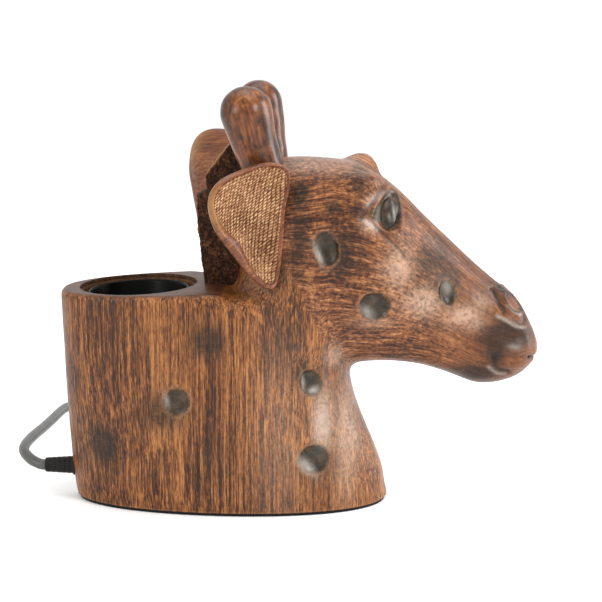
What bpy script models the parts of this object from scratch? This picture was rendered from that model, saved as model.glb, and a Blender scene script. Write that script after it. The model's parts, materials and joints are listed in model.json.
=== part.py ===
"""A table lamp whose base is a carved giraffe's head and neck, with its lead wound up behind it.

The stump behind the neck holds a black steel cup with a lampholder at its foot. The ears, the two
ossicones and the mane are pieces of their own, let into the carving. Lengths are in millimetres and
MM turns them into metres. The head looks along +X, its left side is +Y, and the pad stands on Z = 0.
"""

import math

import bmesh
import bpy
from mathutils import Matrix, Vector

MM = 0.001
GAP = 0.35  # the clearance between pieces that touch or fit into each other

# The carving
PAD_TOP = 2.0
UNDERSIDE = 2.3
STUMP_TOP = 134.0
VOXEL = 3.6  # the grain that the joined lofts are remeshed to
KEPT_SHARE = 0.13  # the share of the remeshed faces that is kept

# The bore for the lamp cup, and the pocket under it for the wiring
BORE_X, BORE_Y = -58.0, 1.5
BORE_RADIUS, BORE_FLOOR = 34.7, 57.0
LEDGE_RADIUS, LEDGE_DEPTH = 36.3, 2.4
POCKET_CEILING = 38.0
POCKET_HALF_X, POCKET_HALF_Y = 30.0, 25.0
PLATE_TOP, RECESS_TOP = 4.3, 4.65
PLATE_INSET = 9.0
SCREW_SPOTS = ((-18.0, -28.0), (-18.0, 28.0), (62.0, -20.0), (62.0, 20.0))

# The cup and the lampholder, from the floor up
CUP_RADIUS, CUP_WALL, CUP_BOTTOM, CUP_TOP = 30.5, 1.2, 57.4, 131.3
NIPPLE_RADIUS, NIPPLE_BORE = 5.0, 3.7
NIPPLE_BOTTOM, NIPPLE_TOP = 31.5, 66.0
CAP_BOTTOM, CAP_TOP, CAP_RADIUS = 59.2, 79.0, 18.0
SHELL_BOTTOM, SHELL_TOP, SHELL_RADIUS = 79.4, 113.0, 20.0
THREAD_RADIUS, THREAD_PITCH, THREAD_WAVE = 13.7, 3.6, 0.45  # E27
CONTACT_Z = 89.6

# The lead
CORD_RADIUS = 3.4
CORD_EXIT_Z = 19.5
SEAT_X = -98.6
RELIEF_END_X = -119.0
SWITCH_X, SWITCH_Y = -47.0, 195.0
SWITCH_LENGTH, SWITCH_WIDTH = 60.0, 27.0
SWITCH_SPLIT, SWITCH_TOP = 9.0, 19.0
ROCKER_PIVOT_Z = 15.2
ROCKER_TILT = 8.0  # degrees to either side of level
COIL_X, COIL_Y, COIL_RADIUS = 26.0, 140.0, 40.0
COIL_HALF_WIDTH, COIL_BOTTOM, COIL_TOP = 13.75, 1.35, 15.3
PLUG_FACE_X, PLUG_Y, PLUG_Z = -88.0, 95.0, 6.9
PLUG_LENGTH, PIN_SPACING = 37.0, 18.6

# The routes that the lead takes where it isn't coiled
ROUTE_TO_SWITCH = (
    (-119.8, 0.0, 19.5),
    (-122.4, 0.3, 19.8),
    (-126.8, 2.6, 21.0),
    (-131.4, 7.6, 22.6),
    (-134.9, 15.0, 23.9),
    (-136.3, 27.0, 24.4),
    (-135.4, 50.0, 23.4),
    (-133.0, 80.0, 21.2),
    (-131.0, 110.0, 19.2),
    (-129.4, 140.0, 17.0),
    (-127.0, 163.0, 14.0),
    (-120.0, 181.0, 10.0),
    (-107.5, 192.0, 6.6),
    (-94.0, 195.6, 6.6),
    (-85.0, 195.6, 8.4),
    (-78.0, 195.0, 9.2),
)
ROUTE_TO_COIL = (
    (-16.0, 195.0, 9.2),
    (-10.0, 194.7, 8.2),
    (-2.0, 193.4, 6.2),
)
ROUTE_TO_PLUG = (
    (-1.5, 88.5, 9.4),
    (-16.0, 90.2, 5.6),
    (-31.0, 93.4, 4.8),
    (-42.0, 94.7, 6.3),
    (-50.3, 95.0, 6.9),
)

# The carving's outlines. Each row is a level, then the outline's low end, its high end, where it is
# widest, its half width there, and how square it is towards the low end and the high end.
STUMP_ROWS = (
    (1.0, -98.6, 97.0, 12, 45.6, 1.95, 2.3),
    (8.0, -99.8, 95.6, 12, 46.2, 1.95, 2.3),
    (17.0, -100.7, 94.3, 11, 46.2, 2.0, 2.3),
    (26.0, -101.4, 91.6, 10, 46.0, 2.0, 2.3),
    (36.0, -102.0, 87.6, 9, 46.0, 2.0, 2.3),
    (50.0, -102.8, 81.8, 6, 45.8, 2.1, 2.3),
    (64.0, -103.4, 76.4, 3, 45.6, 2.2, 2.3),
    (80.0, -104.0, 73.0, 0, 45.4, 2.3, 2.3),
    (108.0, -104.9, 71.0, -5, 45.2, 2.4, 2.3),
    (131.5, -105.5, 69.0, -8, 45.0, 2.4, 2.3),
    (133.8, -105.0, 68.0, -8, 44.6, 2.4, 2.3),
    (135.2, -103.6, 67.0, -8, 43.4, 2.4, 2.3),
)
NECK_ROWS = (
    (100.0, -6.0, 71.5, 32, 43.5, 2.3, 2.3),
    (125.0, 0.0, 71.5, 34, 42.0, 2.3, 2.3),
    (142.0, 4.0, 71.0, 36, 39.5, 2.3, 2.3),
    (160.0, 6.0, 70.0, 37, 36.0, 2.2, 2.2),
    (182.0, 8.0, 68.0, 38, 32.0, 2.1, 2.1),
    (198.0, 12.0, 62.0, 38, 26.0, 2.0, 2.0),
)
HEAD_ROWS = (
    (3.0, 176, 202, 188, 18.0, 2.0, 2.0),
    (11.0, 152, 210, 180, 27.0, 2.0, 2.2),
    (30.0, 108, 214, 168, 33.0, 2.2, 2.4),
    (55.0, 89, 214, 162, 36.5, 2.3, 2.4),
    (78.0, 87, 210, 160, 38.5, 2.2, 2.5),
    (98.0, 88, 197.5, 150, 35.5, 2.2, 2.5),
    (116.0, 86, 180.5, 134, 31.0, 2.2, 2.4),
    (135.0, 80, 162.5, 121, 26.5, 2.3, 2.3),
    (150.0, 74.5, 148.5, 113, 24.0, 2.4, 2.3),
    (163.0, 74.5, 137.5, 107, 23.5, 2.4, 2.3),
    (174.0, 77.5, 129.5, 104, 22.5, 2.3, 2.3),
    (181.0, 82, 119, 101, 19.5, 2.2, 2.2),
    (186.5, 88, 108, 97, 14.0, 2.0, 2.0),
    (189.0, 92, 101, 96.5, 7.0, 2.0, 2.0),
)
# Each dent's place on the side, its radius, and the side's half width there
DENTS = (
    (57.6, 163.7, 8.5, 37.0),
    (86.5, 128.5, 9.3, 34.3),
    (130.3, 135.2, 6.5, 27.0),
    (48.5, 81.7, 7.8, 45.5),
    (50.2, 35.2, 9.2, 45.0),
    (-32.0, 71.8, 8.2, 45.2),
)
DENT_DEPTH = 3.4

# The mane's outline, seen from the side, from its front foot round its back to its front top
MANE_OUTLINE = (
    (10.0, STUMP_TOP + GAP),
    (-16.5, STUMP_TOP + GAP),
    (-18.5, 152.0),
    (-21.0, 176.0),
    (-21.0, 192.0),
    (-15.0, 194.5),
    (-15.4, 204.6),
    (-1.3, 222.6),
    (10.0, 223.0),
)
MANE_HALF_WIDTH = 5.5
MANE_FRONT = 10.0

# Each ossicone's foot, the direction it leans in, and the radius of its knob
OSSICONES = {
    "right": ((20.0, -20.0, 206.0), (-9.8, -2.0, 36.0), 15.5),
    "left": ((23.0, 20.0, 206.0), (-6.5, 1.5, 38.0), 14.6),
}
DOWEL_RADIUS, DOWEL_HALF = 3.8, 14.0

# An ear's outline in its own plane, backwards and up from its root, as a closed smooth curve
EAR_OUTLINE = (
    (-1.5, 29.5),
    (11.0, 36.0),
    (30.0, 33.0),
    (46.5, 26.0),
    (52.5, 14.5),
    (48.5, -1.0),
    (36.0, -18.0),
    (20.0, -35.5),
    (8.5, -38.5),
    (4.0, -18.0),
    (1.5, 8.0),
)
EAR_CENTRE = (24.0, 2.0)
EAR_DISH, EAR_THICKNESS = 8.0, 5.0
LINING_SHARE = 0.84
# Each ear's root, how far it swings out from the head and how far it is cocked up, in degrees
EARS = {
    "right": ((35.0, -36.5, 179.5), 32.0, 0.0),
    "left": ((10.0, 39.0, 185.0), 30.0, 24.0),
}
TENON_RADIUS, TENON_LENGTH = 4.5, 14.0
# The swellings of the head that the ears grow from: their middles and radii
EAR_BOSSES = (((30.0, -25.0, 172.0), 12.0), ((8.0, 27.0, 186.0), 13.0))
# Where each ear's tenon starts, behind the ear
TENON_FEET = {"right": (27.0, -34.0, 181.5), "left": (5.5, 38.0, 187.0)}


for leftover in list(bpy.data.objects):
    bpy.data.objects.remove(leftover, do_unlink=True)

PARTS = bpy.data.collections.new("giraffe_lamp")
CUTTERS = bpy.data.collections.new("cutters")
for new_collection in (PARTS, CUTTERS):
    bpy.context.scene.collection.children.link(new_collection)


def material(name, colour, roughness, metallic=0.0):
    made = bpy.data.materials.new(name)
    made.use_nodes = True
    shader = made.node_tree.nodes["Principled BSDF"]
    shader.inputs["Base Color"].default_value = (*colour, 1.0)
    shader.inputs["Roughness"].default_value = roughness
    shader.inputs["Metallic"].default_value = metallic
    return made


WOOD = material("carved_wood", (0.21, 0.10, 0.045), 0.42)
HORN = material("ossicone_wood", (0.28, 0.13, 0.06), 0.30)
MANE = material("mane_fibre", (0.055, 0.025, 0.012), 0.85)
HESSIAN = material("ear_hessian", (0.42, 0.24, 0.13), 0.90)
DOWELWOOD = material("dowel_wood", (0.55, 0.38, 0.22), 0.60)
BLACK_STEEL = material("black_steel", (0.012, 0.011, 0.010), 0.35, 0.4)
PHENOLIC = material("black_phenolic", (0.015, 0.014, 0.013), 0.40)
CERAMIC = material("white_ceramic", (0.80, 0.78, 0.72), 0.30)
BRASS = material("brass", (0.72, 0.50, 0.20), 0.30, 1.0)
ZINC = material("zinc_steel", (0.55, 0.55, 0.53), 0.35, 1.0)
RUBBER = material("black_rubber", (0.025, 0.024, 0.022), 0.70)
CORD_PVC = material("grey_pvc", (0.12, 0.115, 0.11), 0.45)
SWITCH_PLASTIC = material("black_plastic", (0.02, 0.02, 0.019), 0.35)
WIRE_BROWN = material("wire_brown", (0.16, 0.06, 0.03), 0.45)
WIRE_BLUE = material("wire_blue", (0.03, 0.10, 0.35), 0.45)


def add(name, data, surface=None, place=None):
    """A new object: a part if it has a surface, and otherwise a cutter, which is only shown as wire."""
    made = bpy.data.objects.new(name, data)
    if place is not None:
        made.matrix_world = place
    if surface is None:
        CUTTERS.objects.link(made)
        made.hide_render = True
        made.display_type = "WIRE"
    else:
        PARTS.objects.link(made)
        data.materials.append(surface)
    return made


def at(x, y, z):
    return Matrix.Translation(Vector((x, y, z)) * MM)


def along(point, direction):
    """The place of something whose own +Z points in the direction given."""
    turn = Vector(direction).to_track_quat("Z", "Y").to_matrix().to_4x4()
    return at(*point) @ turn


def as_mesh(name, built):
    mesh = bpy.data.meshes.new(name)
    built.to_mesh(mesh)
    built.free()
    return mesh


def smoothed(mesh, sharp=35.0):
    mesh.shade_smooth()
    mesh.set_sharp_from_angle(angle=math.radians(sharp))
    return mesh


def boolean(target, tool, operation="DIFFERENCE"):
    step = target.modifiers.new(tool.name, "BOOLEAN")
    step.operation = operation
    step.object = tool
    step.solver = "EXACT"
    return step


def box_mesh(name, size):
    built = bmesh.new()
    bmesh.ops.create_cube(built, size=1.0)
    bmesh.ops.scale(built, vec=Vector(size) * MM, verts=built.verts)
    return as_mesh(name, built)


def box(name, low, high, surface=None, bevel=0.0):
    """A box between two corners, with its edges rounded by bevel."""
    low, high = Vector(low), Vector(high)
    made = add(name, box_mesh(name, high - low), surface, at(*((low + high) / 2)))
    if bevel:
        rounding = made.modifiers.new("rounding", "BEVEL")
        rounding.width = bevel * MM
        rounding.segments = 2
        smoothed(made.data)
    return made


def rod_mesh(name, radius, length, sides=24, top_radius=None):
    """A cylinder, or a cone with its own top radius, that stands on its own origin."""
    built = bmesh.new()
    bmesh.ops.create_cone(
        built,
        cap_ends=True,
        segments=sides,
        radius1=radius * MM,
        radius2=(radius if top_radius is None else top_radius) * MM,
        depth=length * MM,
        matrix=at(0, 0, length / 2),
    )
    return smoothed(as_mesh(name, built))


def turned(name, profile, surface=None, place=None, steps=40, closed=True):
    """A profile of radius and height turned round its own Z. It runs down its outer side."""
    built = bmesh.new()
    corners = [built.verts.new((radius * MM, 0.0, height * MM)) for radius, height in profile]
    for first, second in zip(corners, corners[1:]):
        built.edges.new((first, second))
    if closed:
        built.edges.new((corners[-1], corners[0]))
    made = add(name, as_mesh(name, built), surface, place)
    lathe = made.modifiers.new("turned", "SCREW")
    lathe.axis = "Z"
    lathe.angle = math.tau
    lathe.steps = steps
    lathe.render_steps = steps
    lathe.use_merge_vertices = True
    lathe.merge_threshold = 0.00001
    lathe.use_smooth_shade = True
    return made


def ring_profile(inner, outer, bottom, top):
    return ((outer, top), (outer, bottom), (inner, bottom), (inner, top))


def egg(row, count):
    """An outline round a level: two half superellipses that meet where it is widest."""
    _level, low, high, widest, half, square_low, square_high = row
    points = []
    for step in range(count):
        turn = math.tau * (step + 0.5) / count
        c, s = math.cos(turn), math.sin(turn)
        reach, power = (high - widest, square_high) if c > 0 else (widest - low, square_low)
        points.append(
            (
                widest + math.copysign(reach * abs(c) ** (2 / power), c),
                math.copysign(half * abs(s) ** (2 / power), s),
            )
        )
    return points


def loft(name, rings):
    """A closed skin over rings of points, with a flat face at each end."""
    built = bmesh.new()
    rows = [[built.verts.new(Vector(point) * MM) for point in ring] for ring in rings]
    for lower, upper in zip(rows, rows[1:]):
        for i in range(len(lower)):
            j = (i + 1) % len(lower)
            built.faces.new((lower[i], lower[j], upper[j], upper[i]))
    built.faces.new(list(reversed(rows[0])))
    built.faces.new(rows[-1])
    bmesh.ops.recalc_face_normals(built, faces=built.faces)
    return as_mesh(name, built)


def upright_loft(name, rows, count=56):
    return loft(name, [[(x, y, row[0]) for x, y in egg(row, count)] for row in rows])


def lengthways_loft(name, rows, count=48):
    return loft(name, [[(row[0], y, z) for z, y in egg(row, count)] for row in rows])


def smooth_points(route, spacing):
    """Points about the spacing apart on a Catmull-Rom curve through a route's points."""
    points = [Vector(point) for point in route]
    ends = [2 * points[0] - points[1], *points, 2 * points[-1] - points[-2]]
    found = []
    for before, start, end, after in zip(ends, ends[1:], ends[2:], ends[3:]):
        pieces = max(1, round((end - start).length / spacing))
        for step in range(pieces):
            t = step / pieces
            found.append(
                0.5
                * (
                    2 * start
                    + (end - before) * t
                    + (2 * before - 5 * start + 4 * end - after) * t**2
                    + (3 * start - before - 3 * end + after) * t**3
                )
            )
    return [*found, points[-1]]


def closed_outline(points, each):
    """A smooth closed outline through 2-D points, with so many points on each stretch."""
    count = len(points)
    found = []
    for i in range(count):
        before, start, end, after = (Vector(points[(i + k) % count]) for k in (-1, 0, 1, 2))
        for step in range(each):
            t = step / each
            found.append(
                0.5
                * (
                    2 * start
                    + (end - before) * t
                    + (2 * before - 5 * start + 4 * end - after) * t**2
                    + (3 * start - before - 3 * end + after) * t**3
                )
            )
    return found


def tube(name, points, radius, surface, resolution=2):
    """A round tube along a polyline of points."""
    curve = bpy.data.curves.new(name, "CURVE")
    curve.dimensions = "3D"
    curve.bevel_depth = radius * MM
    curve.bevel_resolution = resolution
    curve.use_fill_caps = True
    spline = curve.splines.new("POLY")
    spline.points.add(len(points) - 1)
    for spot, point in zip(spline.points, points):
        spot.co = (*(Vector(point) * MM), 1.0)
    spline.use_smooth = True
    return add(name, curve, surface)


def flat_outline(name, points, thickness, surface=None, place=None):
    """A 2-D outline in its own XY, as thick as given to both sides together."""
    curve = bpy.data.curves.new(name, "CURVE")
    curve.dimensions = "2D"
    curve.fill_mode = "BOTH"
    curve.extrude = thickness * MM / 2
    spline = curve.splines.new("POLY")
    spline.points.add(len(points) - 1)
    for spot, (x, y) in zip(spline.points, points):
        spot.co = (x * MM, y * MM, 0.0, 1.0)
    spline.use_cyclic_u = True
    return add(name, curve, surface, place)


def solid_of(shape):
    """Makes a curve object a welded mesh object, which a Boolean can cut."""
    evaluated = shape.evaluated_get(bpy.context.evaluated_depsgraph_get())
    mesh = bpy.data.meshes.new_from_object(evaluated)
    built = bmesh.new()
    built.from_mesh(mesh)
    bmesh.ops.remove_doubles(built, verts=built.verts, dist=0.000001)
    built.to_mesh(mesh)
    built.free()
    name, place = shape.name, shape.matrix_world.copy()
    surface = shape.data.materials[0] if shape.data.materials else None
    mesh.materials.clear()
    bpy.data.objects.remove(shape, do_unlink=True)
    return add(name, mesh, surface, place)


SIDEWAYS = Matrix.Rotation(math.radians(90), 4, "X")  # lays an outline's own Y along +Z


def base_outline(inset, count=56):
    """The carving's bottom outline, moved inwards."""
    points = egg(STUMP_ROWS[0], count)
    moved = []
    for i, point in enumerate(points):
        run = Vector(points[(i + 1) % count]) - Vector(points[i - 1])
        inwards = Vector((-run.y, run.x)).normalized()
        moved.append(tuple(Vector(point) + inset * inwards))
    return moved


# ---- the carving and what is let into it


def ear_place(side):
    """An ear's own frame: X runs back along the ear, Y out of its hollow, and Z up."""
    root, swing, cock = EARS[side]
    hand = -1 if side == "right" else 1
    swing, cock = math.radians(swing), math.radians(cock)
    back = Vector((-math.cos(swing), hand * math.sin(swing), 0))
    out = Vector((math.sin(swing), hand * math.cos(swing), 0))
    up = Vector((0, 0, 1))
    turn = Matrix((back, out, up)).transposed().to_4x4()
    return at(*root) @ Matrix.Rotation(cock, 4, "Y") @ turn


def ear_skin(name, grow, front, back, share=1.0):
    """A dished leaf between two depths below its rim, as closed rings from one middle to the other."""
    centre = Vector(EAR_CENTRE)
    outline = []
    for point in closed_outline(EAR_OUTLINE, 3):
        spoke = point - centre
        outline.append(centre + spoke * share + spoke.normalized() * grow)
    built = bmesh.new()
    steps = (0.3, 0.65, 1.0)

    def depth(part):
        return -EAR_DISH * (1 - (part * share) ** 2)

    def ring(part, lift):
        spots = [centre + (point - centre) * part for point in outline]
        return [built.verts.new(Vector((u, depth(part) + lift, v)) * MM) for u, v in spots]

    rows = [ring(part, front) for part in steps] + [ring(part, back) for part in reversed(steps)]
    for lower, upper in zip(rows, rows[1:]):
        for i in range(len(lower)):
            j = (i + 1) % len(lower)
            built.faces.new((lower[i], lower[j], upper[j], upper[i]))
    for row, lift in ((rows[0], front), (rows[-1], back)):
        middle = built.verts.new(Vector((centre.x, depth(0) + lift, centre.y)) * MM)
        for i in range(len(row)):
            built.faces.new((row[i], row[(i + 1) % len(row)], middle))
    bmesh.ops.recalc_face_normals(built, faces=built.faces)
    return smoothed(as_mesh(name, built))


def placed_skin(name, side, skin, surface=None):
    """A skin moved into an ear's place, which on one side is a mirror image."""
    skin.transform(ear_place(side))
    built = bmesh.new()
    built.from_mesh(skin)
    bmesh.ops.recalc_face_normals(built, faces=built.faces)
    built.to_mesh(skin)
    built.free()
    return add(name, skin, surface)


def tenon(name, side, radius, length=TENON_LENGTH):
    """The peg behind an ear's root that holds it in the head."""
    hand = -1 if side == "right" else 1
    return add(name, rod_mesh(name, radius, length, 16), None, along(TENON_FEET[side], (0, -hand, 0)))


def ears():
    cuts = []
    for side in EARS:
        skin = ear_skin(f"ear_{side}", 0, 0, -EAR_THICKNESS)
        ear = placed_skin(f"ear_{side}", side, skin, WOOD)
        boolean(ear, tenon(f"ear_tenon_{side}", side, TENON_RADIUS), "UNION")
        lining = ear_skin(f"ear_lining_{side}", 0, GAP + 0.9, GAP, LINING_SHARE)
        placed_skin(f"ear_lining_{side}", side, lining, HESSIAN)
        seat = ear_skin(f"ear_seat_{side}", 0.6, GAP + 1.4, -EAR_THICKNESS - GAP)
        cuts.append(placed_skin(f"ear_seat_{side}", side, seat))
        cuts.append(tenon(f"ear_mortise_{side}", side, TENON_RADIUS + GAP, TENON_LENGTH + GAP))
    return cuts


def ossicones():
    cuts = []
    for side, (foot, lean, knob) in OSSICONES.items():
        place = along(foot, lean)
        neck = 0.80 * knob
        middle = Vector(lean).length + 1.0
        arc = [
            (knob * math.cos(turn), middle + knob * math.sin(turn))
            for turn in (math.radians(90 - 15 * step) for step in range(8))
        ]
        arc[0] = (0.0, middle + knob)
        profile = (*arc, (0.90 * knob, 0.5 * middle), (neck, 0.2 * middle), (neck + 0.6, GAP), (0, GAP))
        horn = turned(f"ossicone_{side}", profile, HORN, place, 28, closed=False)
        hole = rod_mesh(f"dowel_hole_{side}", DOWEL_RADIUS + GAP, 2 * DOWEL_HALF + 2 * GAP, 16)
        drill = add(f"dowel_hole_{side}", hole, None, place @ at(0, 0, -DOWEL_HALF - GAP))
        boolean(horn, drill)
        dowel = rod_mesh(f"ossicone_dowel_{side}", DOWEL_RADIUS, 2 * DOWEL_HALF, 16)
        add(f"ossicone_dowel_{side}", dowel, DOWELWOOD, place @ at(0, 0, -DOWEL_HALF))
        seat = rod_mesh(f"ossicone_seat_{side}", neck + 1.4, 12.0, 28)
        cuts += [drill, add(f"ossicone_seat_{side}", seat, None, place)]
    return cuts


def mane():
    flat_outline("mane", MANE_OUTLINE, 2 * MANE_HALF_WIDTH, MANE, SIDEWAYS)
    half = MANE_HALF_WIDTH + GAP
    return [box("mane_slot", (-30, -half, STUMP_TOP + 0.2), (MANE_FRONT + GAP, half, 232))]


def ear_bosses():
    built = bmesh.new()
    for middle, radius in EAR_BOSSES:
        bmesh.ops.create_uvsphere(
            built, u_segments=20, v_segments=12, radius=radius * MM, matrix=at(*middle)
        )
    return add("ear_bosses", as_mesh("ear_bosses", built))


def dents():
    """Balls that leave the carving's shallow round dents, on both sides."""
    built = bmesh.new()
    for x, z, radius, half_width in DENTS:
        ball = (radius**2 + DENT_DEPTH**2) / (2 * DENT_DEPTH)
        for hand in (-1, 1):
            middle = at(x, hand * (half_width + ball - DENT_DEPTH), z)
            bmesh.ops.create_uvsphere(
                built, u_segments=20, v_segments=12, radius=ball * MM, matrix=middle
            )
    return add("dent_balls", as_mesh("dent_balls", built))


def wiring_cuts():
    """The bore, the holes and the pocket that the lamp's fittings need in the carving."""
    floor_to_top = STUMP_TOP + 4 - BORE_FLOOR
    bore = rod_mesh("bore", BORE_RADIUS, floor_to_top, 56)
    ledge = rod_mesh("ledge", LEDGE_RADIUS, LEDGE_DEPTH + 4, 56)
    passage = rod_mesh("nipple_passage", NIPPLE_RADIUS + 0.4, BORE_FLOOR - POCKET_CEILING + 4, 24)
    pocket_low = (BORE_X - POCKET_HALF_X, BORE_Y - POCKET_HALF_Y, UNDERSIDE - 2)
    pocket_high = (BORE_X + POCKET_HALF_X, BORE_Y + POCKET_HALF_Y, POCKET_CEILING)
    pocket = box("pocket", pocket_low, pocket_high, bevel=6.0)
    hole = rod_mesh("cord_hole", 5.0, 30, 24)
    spot_face = rod_mesh("cord_spot_face", 7.0, 12, 28)
    thickness = RECESS_TOP - UNDERSIDE + 2
    recess = flat_outline(
        "plate_recess",
        base_outline(PLATE_INSET - GAP),
        thickness,
        place=at(0, 0, RECESS_TOP - thickness / 2),
    )
    cuts = [
        add("bore", bore, None, at(BORE_X, BORE_Y, BORE_FLOOR)),
        add("ledge", ledge, None, at(BORE_X, BORE_Y, STUMP_TOP - LEDGE_DEPTH)),
        add("nipple_passage", passage, None, at(BORE_X, BORE_Y, POCKET_CEILING - 2)),
        pocket,
        add("cord_hole", hole, None, along((SEAT_X - 3, 0, CORD_EXIT_Z), (1, 0, 0))),
        add("cord_spot_face", spot_face, None, along((SEAT_X, 0, CORD_EXIT_Z), (-1, 0, 0))),
        solid_of(recess),
    ]
    for number, (x, y) in enumerate(SCREW_SPOTS, 1):
        pilot = rod_mesh(f"pilot_{number}", 1.85, 14, 12)
        cuts.append(add(f"pilot_{number}", pilot, None, at(x, y, UNDERSIDE)))
    return cuts


def carving():
    body = add("giraffe_body", upright_loft("giraffe_body", STUMP_ROWS), WOOD)
    boolean(body, add("neck", upright_loft("neck", NECK_ROWS)), "UNION")
    boolean(body, add("head", lengthways_loft("head", HEAD_ROWS)), "UNION")
    boolean(body, ear_bosses(), "UNION")
    boolean(body, dents())
    remesh = body.modifiers.new("one_skin", "REMESH")
    remesh.mode = "VOXEL"
    remesh.voxel_size = VOXEL * MM
    soften = body.modifiers.new("soften", "SMOOTH")
    soften.factor = 0.5
    soften.iterations = 5
    thin_out = body.modifiers.new("thin_out", "DECIMATE")
    thin_out.ratio = KEPT_SHARE
    boolean(body, box("trim_below", (-130, -70, -30), (130, 70, UNDERSIDE)))
    boolean(body, box("trim_stump", (-130, -70, STUMP_TOP), (-7, 70, 165)))
    for cutter in (*wiring_cuts(), *mane(), *ossicones(), *ears()):
        boolean(body, cutter)


# ---- the lamp's fittings


def base():
    pad = flat_outline("base_pad", base_outline(1.5), PAD_TOP, RUBBER, at(0, 0, PAD_TOP / 2))
    solid_of(pad)
    thickness = PLATE_TOP - UNDERSIDE
    plate = solid_of(
        flat_outline(
            "base_plate",
            base_outline(PLATE_INSET),
            thickness,
            BLACK_STEEL,
            at(0, 0, UNDERSIDE + thickness / 2),
        )
    )
    for number, (x, y) in enumerate(SCREW_SPOTS, 1):
        sink = rod_mesh(f"countersink_{number}", 3.6, thickness + 0.4, 16, 1.7)
        boolean(plate, add(f"countersink_{number}", sink, None, at(x, y, UNDERSIDE - 0.2)))
        profile = ((0, 15.6), (1.4, 15.0), (1.4, PLATE_TOP), (2.9, UNDERSIDE + 0.1), (0, UNDERSIDE + 0.1))
        turned(f"base_screw_{number}", profile, ZINC, at(x, y, 0), 14, closed=False)


def cup():
    """The black steel cup with a rolled rim and a hole in its floor."""
    inner = CUP_RADIUS - CUP_WALL
    floor = CUP_BOTTOM + 1.5
    hole = NIPPLE_RADIUS + 0.4
    profile = (
        (inner + 0.2, CUP_TOP),
        (CUP_RADIUS + 0.7, CUP_TOP),
        (CUP_RADIUS + 0.7, CUP_TOP - 1.5),
        (CUP_RADIUS, CUP_TOP - 2.0),
        (CUP_RADIUS, CUP_BOTTOM + 2),
        (CUP_RADIUS - 2, CUP_BOTTOM),
        (hole, CUP_BOTTOM),
        (hole, floor),
        (inner - 1.5, floor),
        (inner, floor + 1.5),
        (inner, CUP_TOP - 0.4),
    )
    turned("lamp_cup", profile, BLACK_STEEL, at(BORE_X, BORE_Y, 0), 48)


def nipple():
    """The threaded tube that clamps the cup and the lampholder to the carving, and its nut."""
    centre = at(BORE_X, BORE_Y, 0)
    tube_profile = ring_profile(NIPPLE_BORE, NIPPLE_RADIUS, NIPPLE_BOTTOM, NIPPLE_TOP)
    turned("threaded_nipple", tube_profile, ZINC, centre, 24)
    washer = ring_profile(NIPPLE_RADIUS + GAP, 9.5, POCKET_CEILING - 1.7, POCKET_CEILING - 0.4)
    turned("nipple_washer", washer, ZINC, centre, 28)
    nut = add(
        "nipple_nut",
        rod_mesh("nipple_nut", 8.1, 3.2, 6),
        ZINC,
        at(BORE_X, BORE_Y, POCKET_CEILING - 5.3),
    )
    thread = rod_mesh("nut_thread", NIPPLE_RADIUS + GAP, 10, 24)
    boolean(nut, add("nut_thread", thread, None, at(BORE_X, BORE_Y, POCKET_CEILING - 9)))


def lampholder():
    centre = at(BORE_X, BORE_Y, 0)
    hole = NIPPLE_RADIUS + GAP
    cap = (
        (CAP_RADIUS, CAP_TOP),
        (CAP_RADIUS, CAP_BOTTOM + 4),
        (CAP_RADIUS - 4, CAP_BOTTOM),
        (hole, CAP_BOTTOM),
        (hole, CAP_BOTTOM + 4),
        (CAP_RADIUS - 5, CAP_BOTTOM + 4),
        (CAP_RADIUS - 2, CAP_BOTTOM + 7),
        (CAP_RADIUS - 2, CAP_TOP),
    )
    turned("lampholder_cap", cap, PHENOLIC, centre, 32)
    shell = (
        (SHELL_RADIUS - 0.6, SHELL_TOP),
        (SHELL_RADIUS, SHELL_TOP - 0.6),
        (SHELL_RADIUS, SHELL_BOTTOM + 5),
        (SHELL_RADIUS - 1.6, SHELL_BOTTOM),
        (SHELL_RADIUS - 3.6, SHELL_BOTTOM),
        (SHELL_RADIUS - 2.4, SHELL_BOTTOM + 5),
        (SHELL_RADIUS - 2.4, SHELL_TOP - 2),
        (SHELL_RADIUS - 4.6, SHELL_TOP),
    )
    turned("lampholder_shell", shell, PHENOLIC, centre, 36)
    insert_top = CONTACT_Z - 0.6
    insert = (
        (0, insert_top),
        (15.8, insert_top),
        (15.8, SHELL_BOTTOM + 0.6),
        (0, SHELL_BOTTOM + 0.6),
    )
    turned("lampholder_insert", insert, CERAMIC, centre, 32, closed=False)


def screw_shell():
    """The brass sleeve that takes the bulb's thread, as a wave turned round the axis."""
    bottom, top = CONTACT_Z + 0.2, SHELL_TOP - 3.4
    count = 2 * round((top - bottom) / THREAD_PITCH)
    wave = [
        (
            THREAD_RADIUS + THREAD_WAVE * (-1) ** step,
            top + (bottom - top) * step / count,
        )
        for step in range(count + 1)
    ]
    inside = [(radius - 0.8, height) for radius, height in reversed(wave)]
    turned("screw_shell", (*wave, *inside), BRASS, at(BORE_X, BORE_Y, 0), 28)


def centre_contact():
    """The brass tongue under the bulb's tip. It hinges where it is riveted down, at its origin."""
    tongue = ((0, 0), (5, 0.4), (7, 1.6), (9.5, 2.4), (11.5, 2.2), (11.5, 1.6), (9.3, 1.8), (7.4, 1.0))
    outline = (*tongue, (5.3, -0.2), (0, -0.6))
    flat = flat_outline("centre_contact", outline, 5.0, BRASS, SIDEWAYS)
    contact = solid_of(flat)
    contact.data.transform(SIDEWAYS)
    contact.matrix_world = at(BORE_X - 9.5, BORE_Y, CONTACT_Z + 0.5)


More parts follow.
